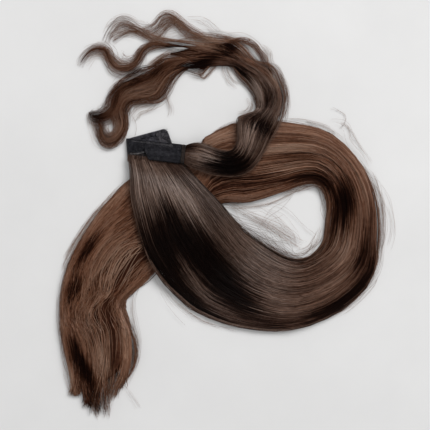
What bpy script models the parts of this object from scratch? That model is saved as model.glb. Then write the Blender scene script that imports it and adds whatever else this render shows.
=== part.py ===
"""Wrap-around ponytail hairpiece, laid flat.

A strip of soft hook-and-loop tape is folded back on itself at its left end. A long tress is sewn under the
strip: it fans down and to the right, loops round, passes under its own root and ends as a loose tail. A
shorter wrapping strand is sewn to the strip's right end, crosses over the loop and curls away at the top.

Metres, +Z up. The origin is the middle of the flap's underside, and the floor is at z = 0.
"""

from collections import namedtuple
from math import cos, pi, radians, sin, sqrt

import bmesh
import bpy
from mathutils import Vector

# Driving dimensions of the tape band
TAPE_WIDTH = 0.019
TAPE_WALL = 0.0016
FLAP_LENGTH = 0.040
FRONT_LENGTH = 0.0582
FLAP_TURN = radians(15.3)
FRONT_TURN = radians(-6.5)
FOLD_ROOM = 0.0020
PATCH_LENGTH = 0.0125
PATCH_WALL = 0.0010
TAB_START = 0.0175
TAB_LENGTH = 0.0365
TAB_CORNER = 0.0050

# Driving dimensions of the sewn headings
HEADING_LENGTH = 0.0505
HEADING_WIDTH = 0.0052
HEADING_WALL = 0.0020
HEADING_INSET = 0.0016
WRAP_HEADING_LENGTH = 0.0036
WRAP_HEADING_WALL = 0.0030

# Driving dimensions of the hair
LAY_ACROSS = 0.250
LAY_ALONG = 0.250
TRESS_DEPTH = 0.0145
WRAP_DEPTH = 0.0115
LOCK_WIDTH = 0.0200
LOCK_DEPTH = 0.0080

# Clearances between pieces, and between hair that crosses hair
PIECE_GAP = 0.0003
LAYER_GAP = 0.0007

# Shares that shape a section of hair
RETURN_SHARE = 0.67
EDGE_SHARE = 0.14
DOME_POWER = 2.4
GROOVE_SHARE = 0.20
CREST_PLACES = (0.30, 0.70)
UNDERSIDE_SHARES = (0.93, 0.5, 0.0, -0.5, -0.93)

# Height of each lock's crest across the hair, as a share of the hair's depth there
TRESS_CRESTS = (0.90, 1.0, 0.88, 0.97, 1.0, 0.89, 0.95)
WRAP_CRESTS = (0.92, 1.0, 0.88, 0.96)

# How far the grooves wander sideways, as a share of the half width, and how many waves they make
TRESS_SWAY = 0.10
TRESS_WAVES = 4.5
WRAP_SWAY = 0.14
WRAP_WAVES = 3.0

# A lock's round section: places across as shares of its half width, heights as shares of its depth
LOCK_RING = ((0, 0), (0.72, 0.13), (1, 0.45), (0.62, 0.86), (0, 1), (-0.62, 0.86), (-1, 0.45), (-0.72, 0.13))

# The hair's plan: places across and along are shares of LAY_ACROSS and LAY_ALONG from the middle of the
# sewn edge, depth is a share of TRESS_DEPTH or WRAP_DEPTH, and lift is a share of the crossing's height.
HairRow = namedtuple("HairRow", "outer_x outer_y inner_x inner_y depth lift")

TRESS_ROWS = (
    HairRow(-0.092, -0.060, 0.160, -0.060, 0.62, 0.92),
    HairRow(-0.088, -0.160, 0.248, -0.148, 0.70, 1.00),
    HairRow(-0.044, -0.340, 0.316, -0.216, 0.68, 1.00),
    HairRow(-0.004, -0.420, 0.356, -0.254, 0.66, 0.86),
    HairRow(0.044, -0.488, 0.396, -0.284, 0.66, 0.44),
    HairRow(0.108, -0.552, 0.436, -0.312, 0.66, 0.12),
    HairRow(0.176, -0.604, 0.472, -0.338, 0.66, 0.00),
    HairRow(0.340, -0.666, 0.540, -0.380, 0.72, 0.00),
    HairRow(0.548, -0.682, 0.596, -0.394, 0.84, 0.00),
    HairRow(0.740, -0.612, 0.644, -0.372, 0.92, 0.00),
    HairRow(0.880, -0.480, 0.680, -0.324, 0.96, 0.00),
    HairRow(0.916, -0.320, 0.692, -0.256, 1.00, 0.00),
    HairRow(0.900, -0.144, 0.696, -0.172, 1.00, 0.00),
    HairRow(0.828, 0.008, 0.672, -0.108, 1.00, 0.00),
    HairRow(0.704, 0.116, 0.612, -0.096, 0.90, 0.00),
    HairRow(0.528, 0.152, 0.512, -0.136, 0.74, 0.00),
    HairRow(0.352, 0.148, 0.376, -0.180, RETURN_SHARE, 0.00),
    HairRow(0.276, 0.124, 0.304, -0.172, RETURN_SHARE, 0.00),
    HairRow(0.200, 0.082, 0.244, -0.188, RETURN_SHARE, 0.00),
    HairRow(0.168, 0.000, 0.196, -0.248, RETURN_SHARE, 0.00),
    HairRow(0.092, -0.044, 0.148, -0.320, RETURN_SHARE, 0.00),
    HairRow(-0.004, -0.056, 0.088, -0.388, RETURN_SHARE, 0.00),
    HairRow(-0.096, -0.076, 0.024, -0.436, RETURN_SHARE, 0.00),
    HairRow(-0.224, -0.200, -0.048, -0.492, 0.76, 0.00),
    HairRow(-0.328, -0.368, -0.112, -0.548, 0.92, 0.00),
    HairRow(-0.364, -0.468, -0.124, -0.576, 1.00, 0.00),
    HairRow(-0.380, -0.572, -0.112, -0.620, 1.00, 0.00),
    HairRow(-0.380, -0.660, -0.088, -0.676, 1.00, 0.00),
    HairRow(-0.372, -0.740, -0.068, -0.752, 1.00, 0.00),
    HairRow(-0.352, -0.824, -0.076, -0.828, 0.96, 0.04),
    HairRow(-0.320, -0.896, -0.116, -0.896, 0.76, 0.08),
    HairRow(-0.268, -0.952, -0.160, -0.948, 0.44, 0.12),
)

WRAP_ROWS = (
    HairRow(0.164, 0.070, 0.156, -0.034, 0.66, 1.00),
    HairRow(0.204, 0.066, 0.200, -0.048, 0.80, 1.00),
    HairRow(0.252, 0.046, 0.260, -0.062, 0.92, 1.00),
    HairRow(0.296, 0.036, 0.340, -0.064, 1.00, 1.00),
    HairRow(0.320, 0.044, 0.404, -0.032, 1.00, 1.00),
    HairRow(0.332, 0.072, 0.444, 0.024, 0.95, 1.00),
    HairRow(0.334, 0.120, 0.472, 0.080, 0.90, 1.00),
    HairRow(0.336, 0.168, 0.504, 0.140, 0.90, 0.72),
    HairRow(0.376, 0.186, 0.520, 0.184, 1.00, 0.34),
    HairRow(0.416, 0.204, 0.526, 0.224, 1.00, 0.08),
    HairRow(0.416, 0.240, 0.528, 0.260, 1.00, 0.00),
    HairRow(0.396, 0.288, 0.512, 0.316, 0.92, 0.00),
    HairRow(0.360, 0.330, 0.480, 0.376, 0.84, 0.00),
    HairRow(0.320, 0.376, 0.408, 0.400, 0.80, 0.00),
    HairRow(0.284, 0.396, 0.364, 0.448, 0.76, 0.00),
    HairRow(0.248, 0.392, 0.320, 0.480, 0.70, 0.00),
    HairRow(0.216, 0.368, 0.276, 0.488, 0.64, 0.04),
    HairRow(0.188, 0.344, 0.212, 0.496, 0.56, 0.08),
    HairRow(0.136, 0.358, 0.168, 0.500, 0.50, 0.10),
    HairRow(0.080, 0.368, 0.108, 0.488, 0.46, 0.10),
    HairRow(0.048, 0.376, 0.060, 0.480, 0.40, 0.10),
)

# Loose locks. x and y are shares as above, width is a share of LOCK_WIDTH and depth of LOCK_DEPTH.
LockRow = namedtuple("LockRow", "x y width depth")

TAIL_LOCKS = {
    "tail_tip_1": (
        LockRow(-0.292, -0.840, 0.60, 0.80),
        LockRow(-0.300, -0.900, 0.45, 0.60),
        LockRow(-0.312, -0.948, 0.12, 0.25),
    ),
    "tail_tip_2": (
        LockRow(-0.244, -0.860, 0.65, 0.90),
        LockRow(-0.252, -0.940, 0.50, 0.70),
        LockRow(-0.262, -0.996, 0.12, 0.25),
    ),
    "tail_tip_3": (
        LockRow(-0.212, -0.872, 0.60, 0.90),
        LockRow(-0.218, -0.952, 0.50, 0.75),
        LockRow(-0.226, -1.024, 0.12, 0.25),
    ),
    "tail_tip_4": (
        LockRow(-0.184, -0.872, 0.60, 0.90),
        LockRow(-0.190, -0.956, 0.45, 0.70),
        LockRow(-0.196, -1.032, 0.12, 0.25),
    ),
    "tail_tip_5": (
        LockRow(-0.150, -0.840, 0.60, 0.90),
        LockRow(-0.158, -0.904, 0.50, 0.70),
        LockRow(-0.172, -0.964, 0.12, 0.25),
    ),
    "tail_tip_6": (
        LockRow(-0.112, -0.812, 0.55, 0.80),
        LockRow(-0.124, -0.872, 0.40, 0.60),
        LockRow(-0.140, -0.924, 0.12, 0.25),
    ),
}

WRAP_LOCKS = {
    "upper_curl": (
        LockRow(0.148, 0.408, 0.90, 0.75),
        LockRow(0.092, 0.416, 1.00, 0.85),
        LockRow(0.040, 0.384, 1.00, 0.95),
        LockRow(0.004, 0.344, 1.00, 1.00),
        LockRow(-0.052, 0.314, 0.95, 1.00),
        LockRow(-0.112, 0.288, 0.85, 0.90),
        LockRow(-0.150, 0.248, 0.72, 0.85),
        LockRow(-0.172, 0.208, 0.66, 0.80),
        LockRow(-0.202, 0.180, 0.60, 0.75),
        LockRow(-0.236, 0.176, 0.46, 0.60),
        LockRow(-0.254, 0.196, 0.16, 0.30),
    ),
    "ring_curl": (
        LockRow(0.132, 0.384, 0.75, 0.75),
        LockRow(0.076, 0.376, 0.80, 0.80),
        LockRow(0.046, 0.334, 0.90, 0.80),
        LockRow(0.014, 0.280, 0.95, 0.80),
        LockRow(-0.052, 0.264, 0.76, 0.75),
        LockRow(-0.100, 0.240, 0.68, 0.70),
        LockRow(-0.126, 0.192, 0.60, 0.65),
        LockRow(-0.124, 0.140, 0.54, 0.65),
        LockRow(-0.140, 0.096, 0.50, 0.60),
        LockRow(-0.180, 0.074, 0.50, 0.60),
        LockRow(-0.220, 0.100, 0.46, 0.55),
        LockRow(-0.240, 0.140, 0.38, 0.50),
        LockRow(-0.240, 0.172, 0.26, 0.40),
    ),
    "left_lock": (
        LockRow(0.100, 0.440, 0.60, 0.60),
        LockRow(0.048, 0.456, 0.60, 0.60),
        LockRow(-0.004, 0.464, 0.58, 0.60),
        LockRow(-0.040, 0.440, 0.50, 0.60),
        LockRow(-0.060, 0.404, 0.50, 0.60),
        LockRow(-0.092, 0.374, 0.56, 0.60),
        LockRow(-0.136, 0.372, 0.48, 0.55),
        LockRow(-0.168, 0.400, 0.36, 0.50),
        LockRow(-0.184, 0.432, 0.28, 0.45),
        LockRow(-0.204, 0.456, 0.22, 0.42),
        LockRow(-0.230, 0.460, 0.20, 0.40),
        LockRow(-0.260, 0.446, 0.18, 0.38),
        LockRow(-0.284, 0.416, 0.16, 0.35),
        LockRow(-0.296, 0.376, 0.12, 0.30),
    ),
    "left_arch": (
        LockRow(0.092, 0.472, 0.36, 0.50),
        LockRow(0.028, 0.486, 0.34, 0.50),
        LockRow(-0.018, 0.508, 0.28, 0.45),
        LockRow(-0.060, 0.540, 0.24, 0.42),
        LockRow(-0.106, 0.564, 0.22, 0.40),
        LockRow(-0.144, 0.556, 0.20, 0.40),
        LockRow(-0.172, 0.524, 0.18, 0.38),
        LockRow(-0.188, 0.484, 0.14, 0.35),
    ),
    "left_wisp": (
        LockRow(0.068, 0.458, 0.30, 0.45),
        LockRow(-0.004, 0.486, 0.28, 0.42),
        LockRow(-0.050, 0.516, 0.24, 0.40),
        LockRow(-0.092, 0.524, 0.22, 0.38),
        LockRow(-0.132, 0.508, 0.18, 0.36),
        LockRow(-0.170, 0.486, 0.16, 0.34),
    ),
    "top_arch": (
        LockRow(0.204, 0.466, 0.46, 0.55),
        LockRow(0.172, 0.500, 0.44, 0.55),
        LockRow(0.136, 0.540, 0.36, 0.50),
        LockRow(0.104, 0.572, 0.30, 0.45),
        LockRow(0.070, 0.590, 0.26, 0.42),
        LockRow(0.040, 0.580, 0.24, 0.40),
        LockRow(0.018, 0.554, 0.22, 0.38),
        LockRow(-0.010, 0.532, 0.18, 0.36),
        LockRow(-0.040, 0.526, 0.16, 0.36),
    ),
    "inner_arch": (
        LockRow(0.184, 0.456, 0.44, 0.52),
        LockRow(0.140, 0.510, 0.42, 0.52),
        LockRow(0.108, 0.542, 0.34, 0.48),
        LockRow(0.076, 0.556, 0.30, 0.45),
        LockRow(0.044, 0.536, 0.30, 0.45),
        LockRow(0.018, 0.508, 0.30, 0.45),
        LockRow(-0.022, 0.490, 0.30, 0.45),
    ),
    "outer_lock": (
        LockRow(0.300, 0.470, 0.30, 0.60),
        LockRow(0.352, 0.482, 0.28, 0.60),
        LockRow(0.398, 0.468, 0.28, 0.60),
        LockRow(0.430, 0.432, 0.30, 0.65),
        LockRow(0.456, 0.388, 0.34, 0.70),
        LockRow(0.472, 0.340, 0.34, 0.70),
    ),
}

# How far the flap's free end bows out, in shares of the tape's width: (place across, extra length)
FLAP_END = ((0.0, -0.17), (0.16, -0.02), (0.5, 0.02), (0.8, 0.03), (1.0, 0.05))

# The tab over the heading: (place across as a share of the tape's width, share of its rise)
TAB_PROFILE = ((0.0, 0.0), (0.30, 0.0), (0.52, 0.0), (0.68, 1.0), (0.84, 1.0), (1.0, 1.0))
TAB_CORNER_FROM = 0.52

FOLD_STEPS = 6
TAPE_STEPS = 4
ROW_STEPS = 2

# Heights that follow from the sizes above
FLAP_MIDDLE_Z = TAPE_WALL / 2
FOLD_RADIUS = (FOLD_ROOM + TAPE_WALL) / 2
FRONT_MIDDLE_Z = FLAP_MIDDLE_Z + 2 * FOLD_RADIUS
FRONT_TOP_Z = FRONT_MIDDLE_Z + TAPE_WALL / 2
SEWN_Z = FRONT_TOP_Z + PIECE_GAP
TAB_LOW_Z = SEWN_Z + TAPE_WALL / 2
TAB_HIGH_Z = TAB_LOW_Z + HEADING_WALL + PIECE_GAP
CROSSING_LIFT = RETURN_SHARE * TRESS_DEPTH + LAYER_GAP

# The wrapping strand's heading starts past whichever of the tab and the weft heading reaches further
WRAP_START = max(TAB_START + TAB_LENGTH, HEADING_INSET + HEADING_LENGTH) + PIECE_GAP


def direction(turn):
    return Vector((cos(turn), sin(turn)))


def downward(turn):
    """Square to a tape that runs at this angle, from its upper edge to its lower one."""
    return Vector((sin(turn), -cos(turn)))


# The tape's upper edge meets the fold here, which puts the middle of the flap on the origin
FOLD_TOP = -direction(FLAP_TURN) * FLAP_LENGTH / 2 - downward(FLAP_TURN) * TAPE_WIDTH / 2
FOLD_TURN = (FLAP_TURN + FRONT_TURN) / 2
FOLD_LINE = downward(FOLD_TURN) * TAPE_WIDTH / cos((FLAP_TURN - FRONT_TURN) / 2)


def on_flap(along, across):
    return FOLD_TOP + direction(FLAP_TURN) * along + downward(FLAP_TURN) * across


def on_front(along, across):
    return FOLD_TOP + direction(FRONT_TURN) * along + downward(FRONT_TURN) * across


SEWN_MIDDLE = on_front(HEADING_INSET + HEADING_LENGTH / 2, TAPE_WIDTH)


def in_plan(share_x, share_y):
    return SEWN_MIDDLE + Vector((share_x * LAY_ACROSS, share_y * LAY_ALONG))


def clear_scene():
    for old in list(bpy.data.objects):
        bpy.data.objects.remove(old)


def new_collection(name):
    collection = bpy.data.collections.new(name)
    bpy.context.scene.collection.children.link(collection)
    return collection


def new_material(name, colour, roughness):
    material = bpy.data.materials.new(name)
    material.use_nodes = True
    shader = material.node_tree.nodes["Principled BSDF"]
    shader.inputs["Base Color"].default_value = (*colour, 1)
    shader.inputs["Roughness"].default_value = roughness
    shader.inputs["Metallic"].default_value = 0
    return material


def new_object(name, bm, material, collection):
    bmesh.ops.recalc_face_normals(bm, faces=bm.faces)
    mesh = bpy.data.meshes.new(name)
    bm.to_mesh(mesh)
    bm.free()
    mesh.materials.append(material)
    mesh.shade_smooth()
    piece = bpy.data.objects.new(name, mesh)
    collection.objects.link(piece)
    return piece


def sheet_piece(name, rows, wall, material, collection):
    """A wall of cloth round a grid of middle points, given row by row."""
    bm = bmesh.new()
    grid = [[bm.verts.new(point) for point in row] for row in rows]
    for row, following in zip(grid, grid[1:]):
        for k in range(len(row) - 1):
            bm.faces.new((row[k], row[k + 1], following[k + 1], following[k]))
    piece = new_object(name, bm, material, collection)
    solidify = piece.modifiers.new("cloth wall", "SOLIDIFY")
    solidify.thickness = wall
    solidify.offset = 0
    solidify.use_even_offset = True
    return piece


def lofted_piece(name, rings, material, collection):
    """A closed skin through rings of equally many points, with a flat face at each end."""
    bm = bmesh.new()
    loops = [[bm.verts.new(point) for point in ring] for ring in rings]
    for loop, following in zip(loops, loops[1:]):
        for k in range(len(loop)):
            after = (k + 1) % len(loop)
            bm.faces.new((loop[k], loop[after], following[after], following[k]))
    bm.faces.new(loops[0])
    bm.faces.new(loops[-1])
    return new_object(name, bm, material, collection)


def fuse(body, parts):
    for part in parts:
        part.hide_render = True
        part.display_type = "WIRE"
        union = body.modifiers.new("fuse " + part.name, "BOOLEAN")
        union.operation = "UNION"
        union.object = part


def eased(rows, steps):
    """The rows with others between them, read from a smooth curve through each column."""
    padded = [rows[0], *rows, rows[-1]]
    found = []
    for k in range(len(rows) - 1):
        for step in range(steps):
            t = step / steps
            found.append(tuple(
                (2 * b + (c - a) * t + (2 * a - 5 * b + 4 * c - d) * t**2 + (3 * b - a - 3 * c + d) * t**3) / 2
                for a, b, c, d in zip(*padded[k:k + 4])
            ))
    return [*found, tuple(rows[-1])]


def hair_ring(outer, inner, depth, lift, crests, sway):
    """A section of hair between two points of its plan: crests and grooves over it, flat below."""
    middle = (outer + inner) / 2
    half = (inner - outer) / 2
    top = [(0, 1)]
    for k, crest in enumerate(crests):
        top += [((k + place) / len(crests), crest) for place in CREST_PLACES]
        top.append(((k + 1) / len(crests), 1 - GROOVE_SHARE))
    top[-1] = (1, 1)
    ring = []
    for place, height in top:
        across = 2 * place - 1
        dome = EDGE_SHARE + (1 - EDGE_SHARE) * sqrt(1 - abs(across)**DOME_POWER)
        shifted = middle + half * (across + sway * (1 - across**2))
        ring.append((*shifted, lift + depth * dome * height))
    for across in UNDERSIDE_SHARES:
        ring.append((*(middle + half * across), lift))
    return ring


def hair_body(name, root, table, depth, crests, sway, waves, material, collection):
    """Hair that starts at its sewn root, given in metres, and follows a table of rows."""
    rows = [root]
    for row in table:
        outer = in_plan(row.outer_x, row.outer_y)
        inner = in_plan(row.inner_x, row.inner_y)
        rows.append((*outer, *inner, row.depth * depth, row.lift * CROSSING_LIFT))
    rows = eased(rows, ROW_STEPS)
    rings = []
    for k, (outer_x, outer_y, inner_x, inner_y, height, lift) in enumerate(rows):
        turn = sway * sin(2 * pi * waves * k / (len(rows) - 1))
        ends = Vector((outer_x, outer_y)), Vector((inner_x, inner_y))
        rings.append(hair_ring(*ends, height, max(lift, 0), crests, turn))
    return lofted_piece(name, rings, material, collection)


def lock_piece(name, table, material, collection):
    """A loose lock that lies on the floor and thins out to its tip."""
    rows = [(*in_plan(row.x, row.y), row.width * LOCK_WIDTH, row.depth * LOCK_DEPTH) for row in table]
    rows = eased(rows, ROW_STEPS)
    middles = [Vector(row[:2]) for row in rows]
    rings = []
    for k, (x, y, width, depth) in enumerate(rows):
        along = (middles[min(k + 1, len(rows) - 1)] - middles[max(k - 1, 0)]).normalized()
        side = Vector((-along.y, along.x)) * width / 2
        rings.append([(x + side.x * across, y + side.y * across, depth * up) for across, up in LOCK_RING])
    return lofted_piece(name, rings, material, collection)


def base_band(material, collection):
    """The tape from the flap's free end, round the fold and along the front."""
    shares = [share for share, _ in FLAP_END]
    flap_end = [on_flap(FLAP_LENGTH + bow * TAPE_WIDTH, share * TAPE_WIDTH) for share, bow in FLAP_END]
    front_end = [on_front(FRONT_LENGTH, share * TAPE_WIDTH) for share in shares]
    fold = [FOLD_TOP + FOLD_LINE * share for share in shares]
    rows = []
    for step in range(TAPE_STEPS):
        t = step / TAPE_STEPS
        rows.append([(*end.lerp(start, t), FLAP_MIDDLE_Z) for end, start in zip(flap_end, fold)])
    for step in range(FOLD_STEPS + 1):
        turn = pi * (step / FOLD_STEPS - 0.5)
        out = -direction(FOLD_TURN) * FOLD_RADIUS * cos(turn)
        height = FLAP_MIDDLE_Z + FOLD_RADIUS * (1 + sin(turn))
        rows.append([(*(point + out), height) for point in fold])
    for step in range(1, TAPE_STEPS + 1):
        t = step / TAPE_STEPS
        rows.append([(*start.lerp(end, t), FRONT_MIDDLE_Z) for start, end in zip(fold, front_end)])
    return sheet_piece("base_band", rows, TAPE_WALL, material, collection)


def hook_patch(material, collection):
    """The hook tape that is sewn on the flap's free end, set in from the flap's edges."""
    height = TAPE_WALL + PIECE_GAP + PATCH_WALL / 2
    rows = []
    for share, bow in FLAP_END:
        across = PIECE_GAP + share * (TAPE_WIDTH - 2 * PIECE_GAP)
        end = FLAP_LENGTH + bow * TAPE_WIDTH - PIECE_GAP
        start = FLAP_LENGTH - PATCH_LENGTH
        rows.append([(*on_flap(along, across), height) for along in (start, end)])
    return sheet_piece("hook_patch", rows, PATCH_WALL, material, collection)


def closure_tab(material, collection):
    """The second layer of tape, which steps up over the weft heading and has one cut corner."""
    rows = []
    for share, rise in TAB_PROFILE:
        cut = max(share - TAB_CORNER_FROM, 0) / (1 - TAB_CORNER_FROM) * TAB_CORNER
        height = TAB_LOW_Z + rise * (TAB_HIGH_Z - TAB_LOW_Z)
        start = TAB_START + cut
        end = TAB_START + TAB_LENGTH
        places = [start + (end - start) * step / TAPE_STEPS for step in range(TAPE_STEPS + 1)]
        rows.append([(*on_front(along, share * TAPE_WIDTH), height) for along in places])
    return sheet_piece("closure_tab", rows, TAPE_WALL, material, collection)


def weft_heading(material, collection):
    """The stitched weft, along the front tape's lower edge."""
    height = SEWN_Z + HEADING_WALL / 2
    rows = []
    for across in (TAPE_WIDTH - HEADING_WIDTH, TAPE_WIDTH):
        places = [HEADING_INSET + HEADING_LENGTH * step / TAPE_STEPS for step in range(TAPE_STEPS + 1)]
        rows.append([(*on_front(along, across), height) for along in places])
    return sheet_piece("weft_heading", rows, HEADING_WALL, material, collection)


def wrap_heading(material, collection):
    """The stitched end of the wrapping strand, on the front tape's right end."""
    height = SEWN_Z + WRAP_HEADING_WALL / 2
    rows = []
    for step in range(TAPE_STEPS + 1):
        across = TAPE_WIDTH * step / TAPE_STEPS
        places = (WRAP_START, WRAP_START + WRAP_HEADING_LENGTH)
        rows.append([(*on_front(along, across), height) for along in places])
    return sheet_piece("wrap_heading", rows, WRAP_HEADING_WALL, material, collection)


def main_tress(material, collection, helpers):
    across = TAPE_WIDTH + PIECE_GAP
    outer = on_front(HEADING_INSET, across)
    inner = on_front(HEADING_INSET + HEADING_LENGTH, across)
    root = (*outer, *inner, HEADING_WALL, SEWN_Z)
    body = hair_body(
        "main_tress", root, TRESS_ROWS, TRESS_DEPTH, TRESS_CRESTS, TRESS_SWAY, TRESS_WAVES, material, collection
    )
    fuse(body, [lock_piece(name, table, material, helpers) for name, table in TAIL_LOCKS.items()])
    return body


def wrap_strand(material, collection, helpers):
    along = WRAP_START + WRAP_HEADING_LENGTH + PIECE_GAP
    outer = on_front(along, 0)
    inner = on_front(along, TAPE_WIDTH)
    root = (*outer, *inner, WRAP_HEADING_WALL, SEWN_Z)
    body = hair_body(
        "wrap_strand", root, WRAP_ROWS, WRAP_DEPTH, WRAP_CRESTS, WRAP_SWAY, WRAP_WAVES, material, collection
    )
    fuse(body, [lock_piece(name, table, material, helpers) for name, table in WRAP_LOCKS.items()])
    return body


def main():
    clear_scene()
    hairpiece = new_collection("ponytail_hairpiece")
    helpers = new_collection("locks_to_fuse")
    tape = new_material("felted_tape", (0.038, 0.040, 0.050), 0.95)
    hook = new_material("hook_tape", (0.055, 0.057, 0.066), 0.85)
    sewing = new_material("sewn_weft", (0.075, 0.068, 0.068), 0.80)
    tress_hair = new_material("tress_hair", (0.085, 0.052, 0.037), 0.45)
    wrap_hair = new_material("wrap_hair", (0.065, 0.041, 0.031), 0.45)
    base_band(tape, hairpiece)
    hook_patch(hook, hairpiece)
    closure_tab(tape, hairpiece)
    weft_heading(sewing, hairpiece)
    wrap_heading(sewing, hairpiece)
    main_tress(tress_hair, hairpiece, helpers)
    wrap_strand(wrap_hair, hairpiece, helpers)


main()
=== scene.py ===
"""Looks of the wrap-around ponytail hairpiece, laid flat on a pale floor.

The hair is made of closed strands over a darker core. Each strand follows the same plan as the solid that
it stands for. The band, its tab and the sewn headings are cloth pieces with fibres and stitches on them.
"""

from collections import namedtuple
from math import cos, pi, radians, sin, sqrt

import bmesh
import bpy
import numpy as np
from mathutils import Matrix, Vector


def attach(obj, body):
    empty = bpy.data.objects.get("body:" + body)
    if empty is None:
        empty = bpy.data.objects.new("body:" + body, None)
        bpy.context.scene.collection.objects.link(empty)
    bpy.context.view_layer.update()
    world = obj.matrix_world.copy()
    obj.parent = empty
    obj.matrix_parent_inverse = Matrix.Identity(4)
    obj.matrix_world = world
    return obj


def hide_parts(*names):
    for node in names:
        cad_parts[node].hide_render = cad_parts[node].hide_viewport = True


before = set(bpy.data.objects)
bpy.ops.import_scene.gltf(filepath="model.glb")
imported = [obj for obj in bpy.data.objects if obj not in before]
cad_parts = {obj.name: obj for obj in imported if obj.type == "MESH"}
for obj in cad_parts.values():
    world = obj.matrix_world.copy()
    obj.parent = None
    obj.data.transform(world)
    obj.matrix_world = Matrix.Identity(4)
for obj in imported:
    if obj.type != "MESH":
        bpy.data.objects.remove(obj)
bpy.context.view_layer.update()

# Sizes that the plan shares with the solids: lengths in metres, turns in radians, and shares
TAPE_WIDTH = 0.019
TAPE_WALL = 0.0016
FLAP_LENGTH = 0.040
FRONT_LENGTH = 0.0582
FLAP_TURN = radians(15.3)
FRONT_TURN = radians(-6.5)
FOLD_ROOM = 0.0020
PATCH_LENGTH = 0.0125
PATCH_WALL = 0.0010
TAB_START = 0.0175
TAB_LENGTH = 0.0365
TAB_CORNER = 0.0050
TAB_CORNER_FROM = 0.52
HEADING_LENGTH = 0.0505
HEADING_WIDTH = 0.0052
HEADING_WALL = 0.0020
HEADING_INSET = 0.0016
WRAP_HEADING_LENGTH = 0.0036
WRAP_HEADING_WALL = 0.0030
LAY_ACROSS = 0.250
LAY_ALONG = 0.250
TRESS_DEPTH = 0.0145
WRAP_DEPTH = 0.0115
LOCK_WIDTH = 0.0200
LOCK_DEPTH = 0.0080
PIECE_GAP = 0.0003
LAYER_GAP = 0.0007
RETURN_SHARE = 0.67
EDGE_SHARE = 0.14
DOME_POWER = 2.4

FLAP_MIDDLE_Z = TAPE_WALL / 2
FOLD_RADIUS = (FOLD_ROOM + TAPE_WALL) / 2
FRONT_MIDDLE_Z = FLAP_MIDDLE_Z + 2 * FOLD_RADIUS
SEWN_Z = FRONT_MIDDLE_Z + TAPE_WALL / 2 + PIECE_GAP
TAB_LOW_Z = SEWN_Z + TAPE_WALL / 2
TAB_HIGH_Z = TAB_LOW_Z + HEADING_WALL + PIECE_GAP
CROSSING_LIFT = RETURN_SHARE * TRESS_DEPTH + LAYER_GAP
WRAP_START = max(TAB_START + TAB_LENGTH, HEADING_INSET + HEADING_LENGTH) + PIECE_GAP

# Plan of the tress: outer x and y, inner x and y, share of depth, share of the crossing's lift
TRESS_ROWS = (
    (-0.092, -0.060, 0.160, -0.060, 0.62, 0.92),
    (-0.088, -0.160, 0.248, -0.148, 0.70, 1.00),
    (-0.044, -0.340, 0.316, -0.216, 0.68, 1.00),
    (-0.004, -0.420, 0.356, -0.254, 0.66, 0.86),
    (0.044, -0.488, 0.396, -0.284, 0.66, 0.44),
    (0.108, -0.552, 0.436, -0.312, 0.66, 0.12),
    (0.176, -0.604, 0.472, -0.338, 0.66, 0.00),
    (0.340, -0.666, 0.540, -0.380, 0.72, 0.00),
    (0.548, -0.682, 0.596, -0.394, 0.84, 0.00),
    (0.740, -0.612, 0.644, -0.372, 0.92, 0.00),
    (0.880, -0.480, 0.680, -0.324, 0.96, 0.00),
    (0.916, -0.320, 0.692, -0.256, 1.00, 0.00),
    (0.900, -0.144, 0.696, -0.172, 1.00, 0.00),
    (0.828, 0.008, 0.672, -0.108, 1.00, 0.00),
    (0.704, 0.116, 0.612, -0.096, 0.90, 0.00),
    (0.528, 0.152, 0.512, -0.136, 0.74, 0.00),
    (0.352, 0.148, 0.376, -0.180, RETURN_SHARE, 0.00),
    (0.276, 0.124, 0.304, -0.172, RETURN_SHARE, 0.00),
    (0.200, 0.082, 0.244, -0.188, RETURN_SHARE, 0.00),
    (0.168, 0.000, 0.196, -0.248, RETURN_SHARE, 0.00),
    (0.092, -0.044, 0.148, -0.320, RETURN_SHARE, 0.00),
    (-0.004, -0.056, 0.088, -0.388, RETURN_SHARE, 0.00),
    (-0.096, -0.076, 0.024, -0.436, RETURN_SHARE, 0.00),
    (-0.224, -0.200, -0.048, -0.492, 0.76, 0.00),
    (-0.328, -0.368, -0.112, -0.548, 0.92, 0.00),
    (-0.364, -0.468, -0.124, -0.576, 1.00, 0.00),
    (-0.380, -0.572, -0.112, -0.620, 1.00, 0.00),
    (-0.380, -0.660, -0.088, -0.676, 1.00, 0.00),
    (-0.372, -0.740, -0.068, -0.752, 1.00, 0.00),
    (-0.352, -0.824, -0.076, -0.828, 0.96, 0.04),
    (-0.320, -0.896, -0.116, -0.896, 0.76, 0.08),
    (-0.268, -0.952, -0.160, -0.948, 0.44, 0.12),
)

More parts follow.
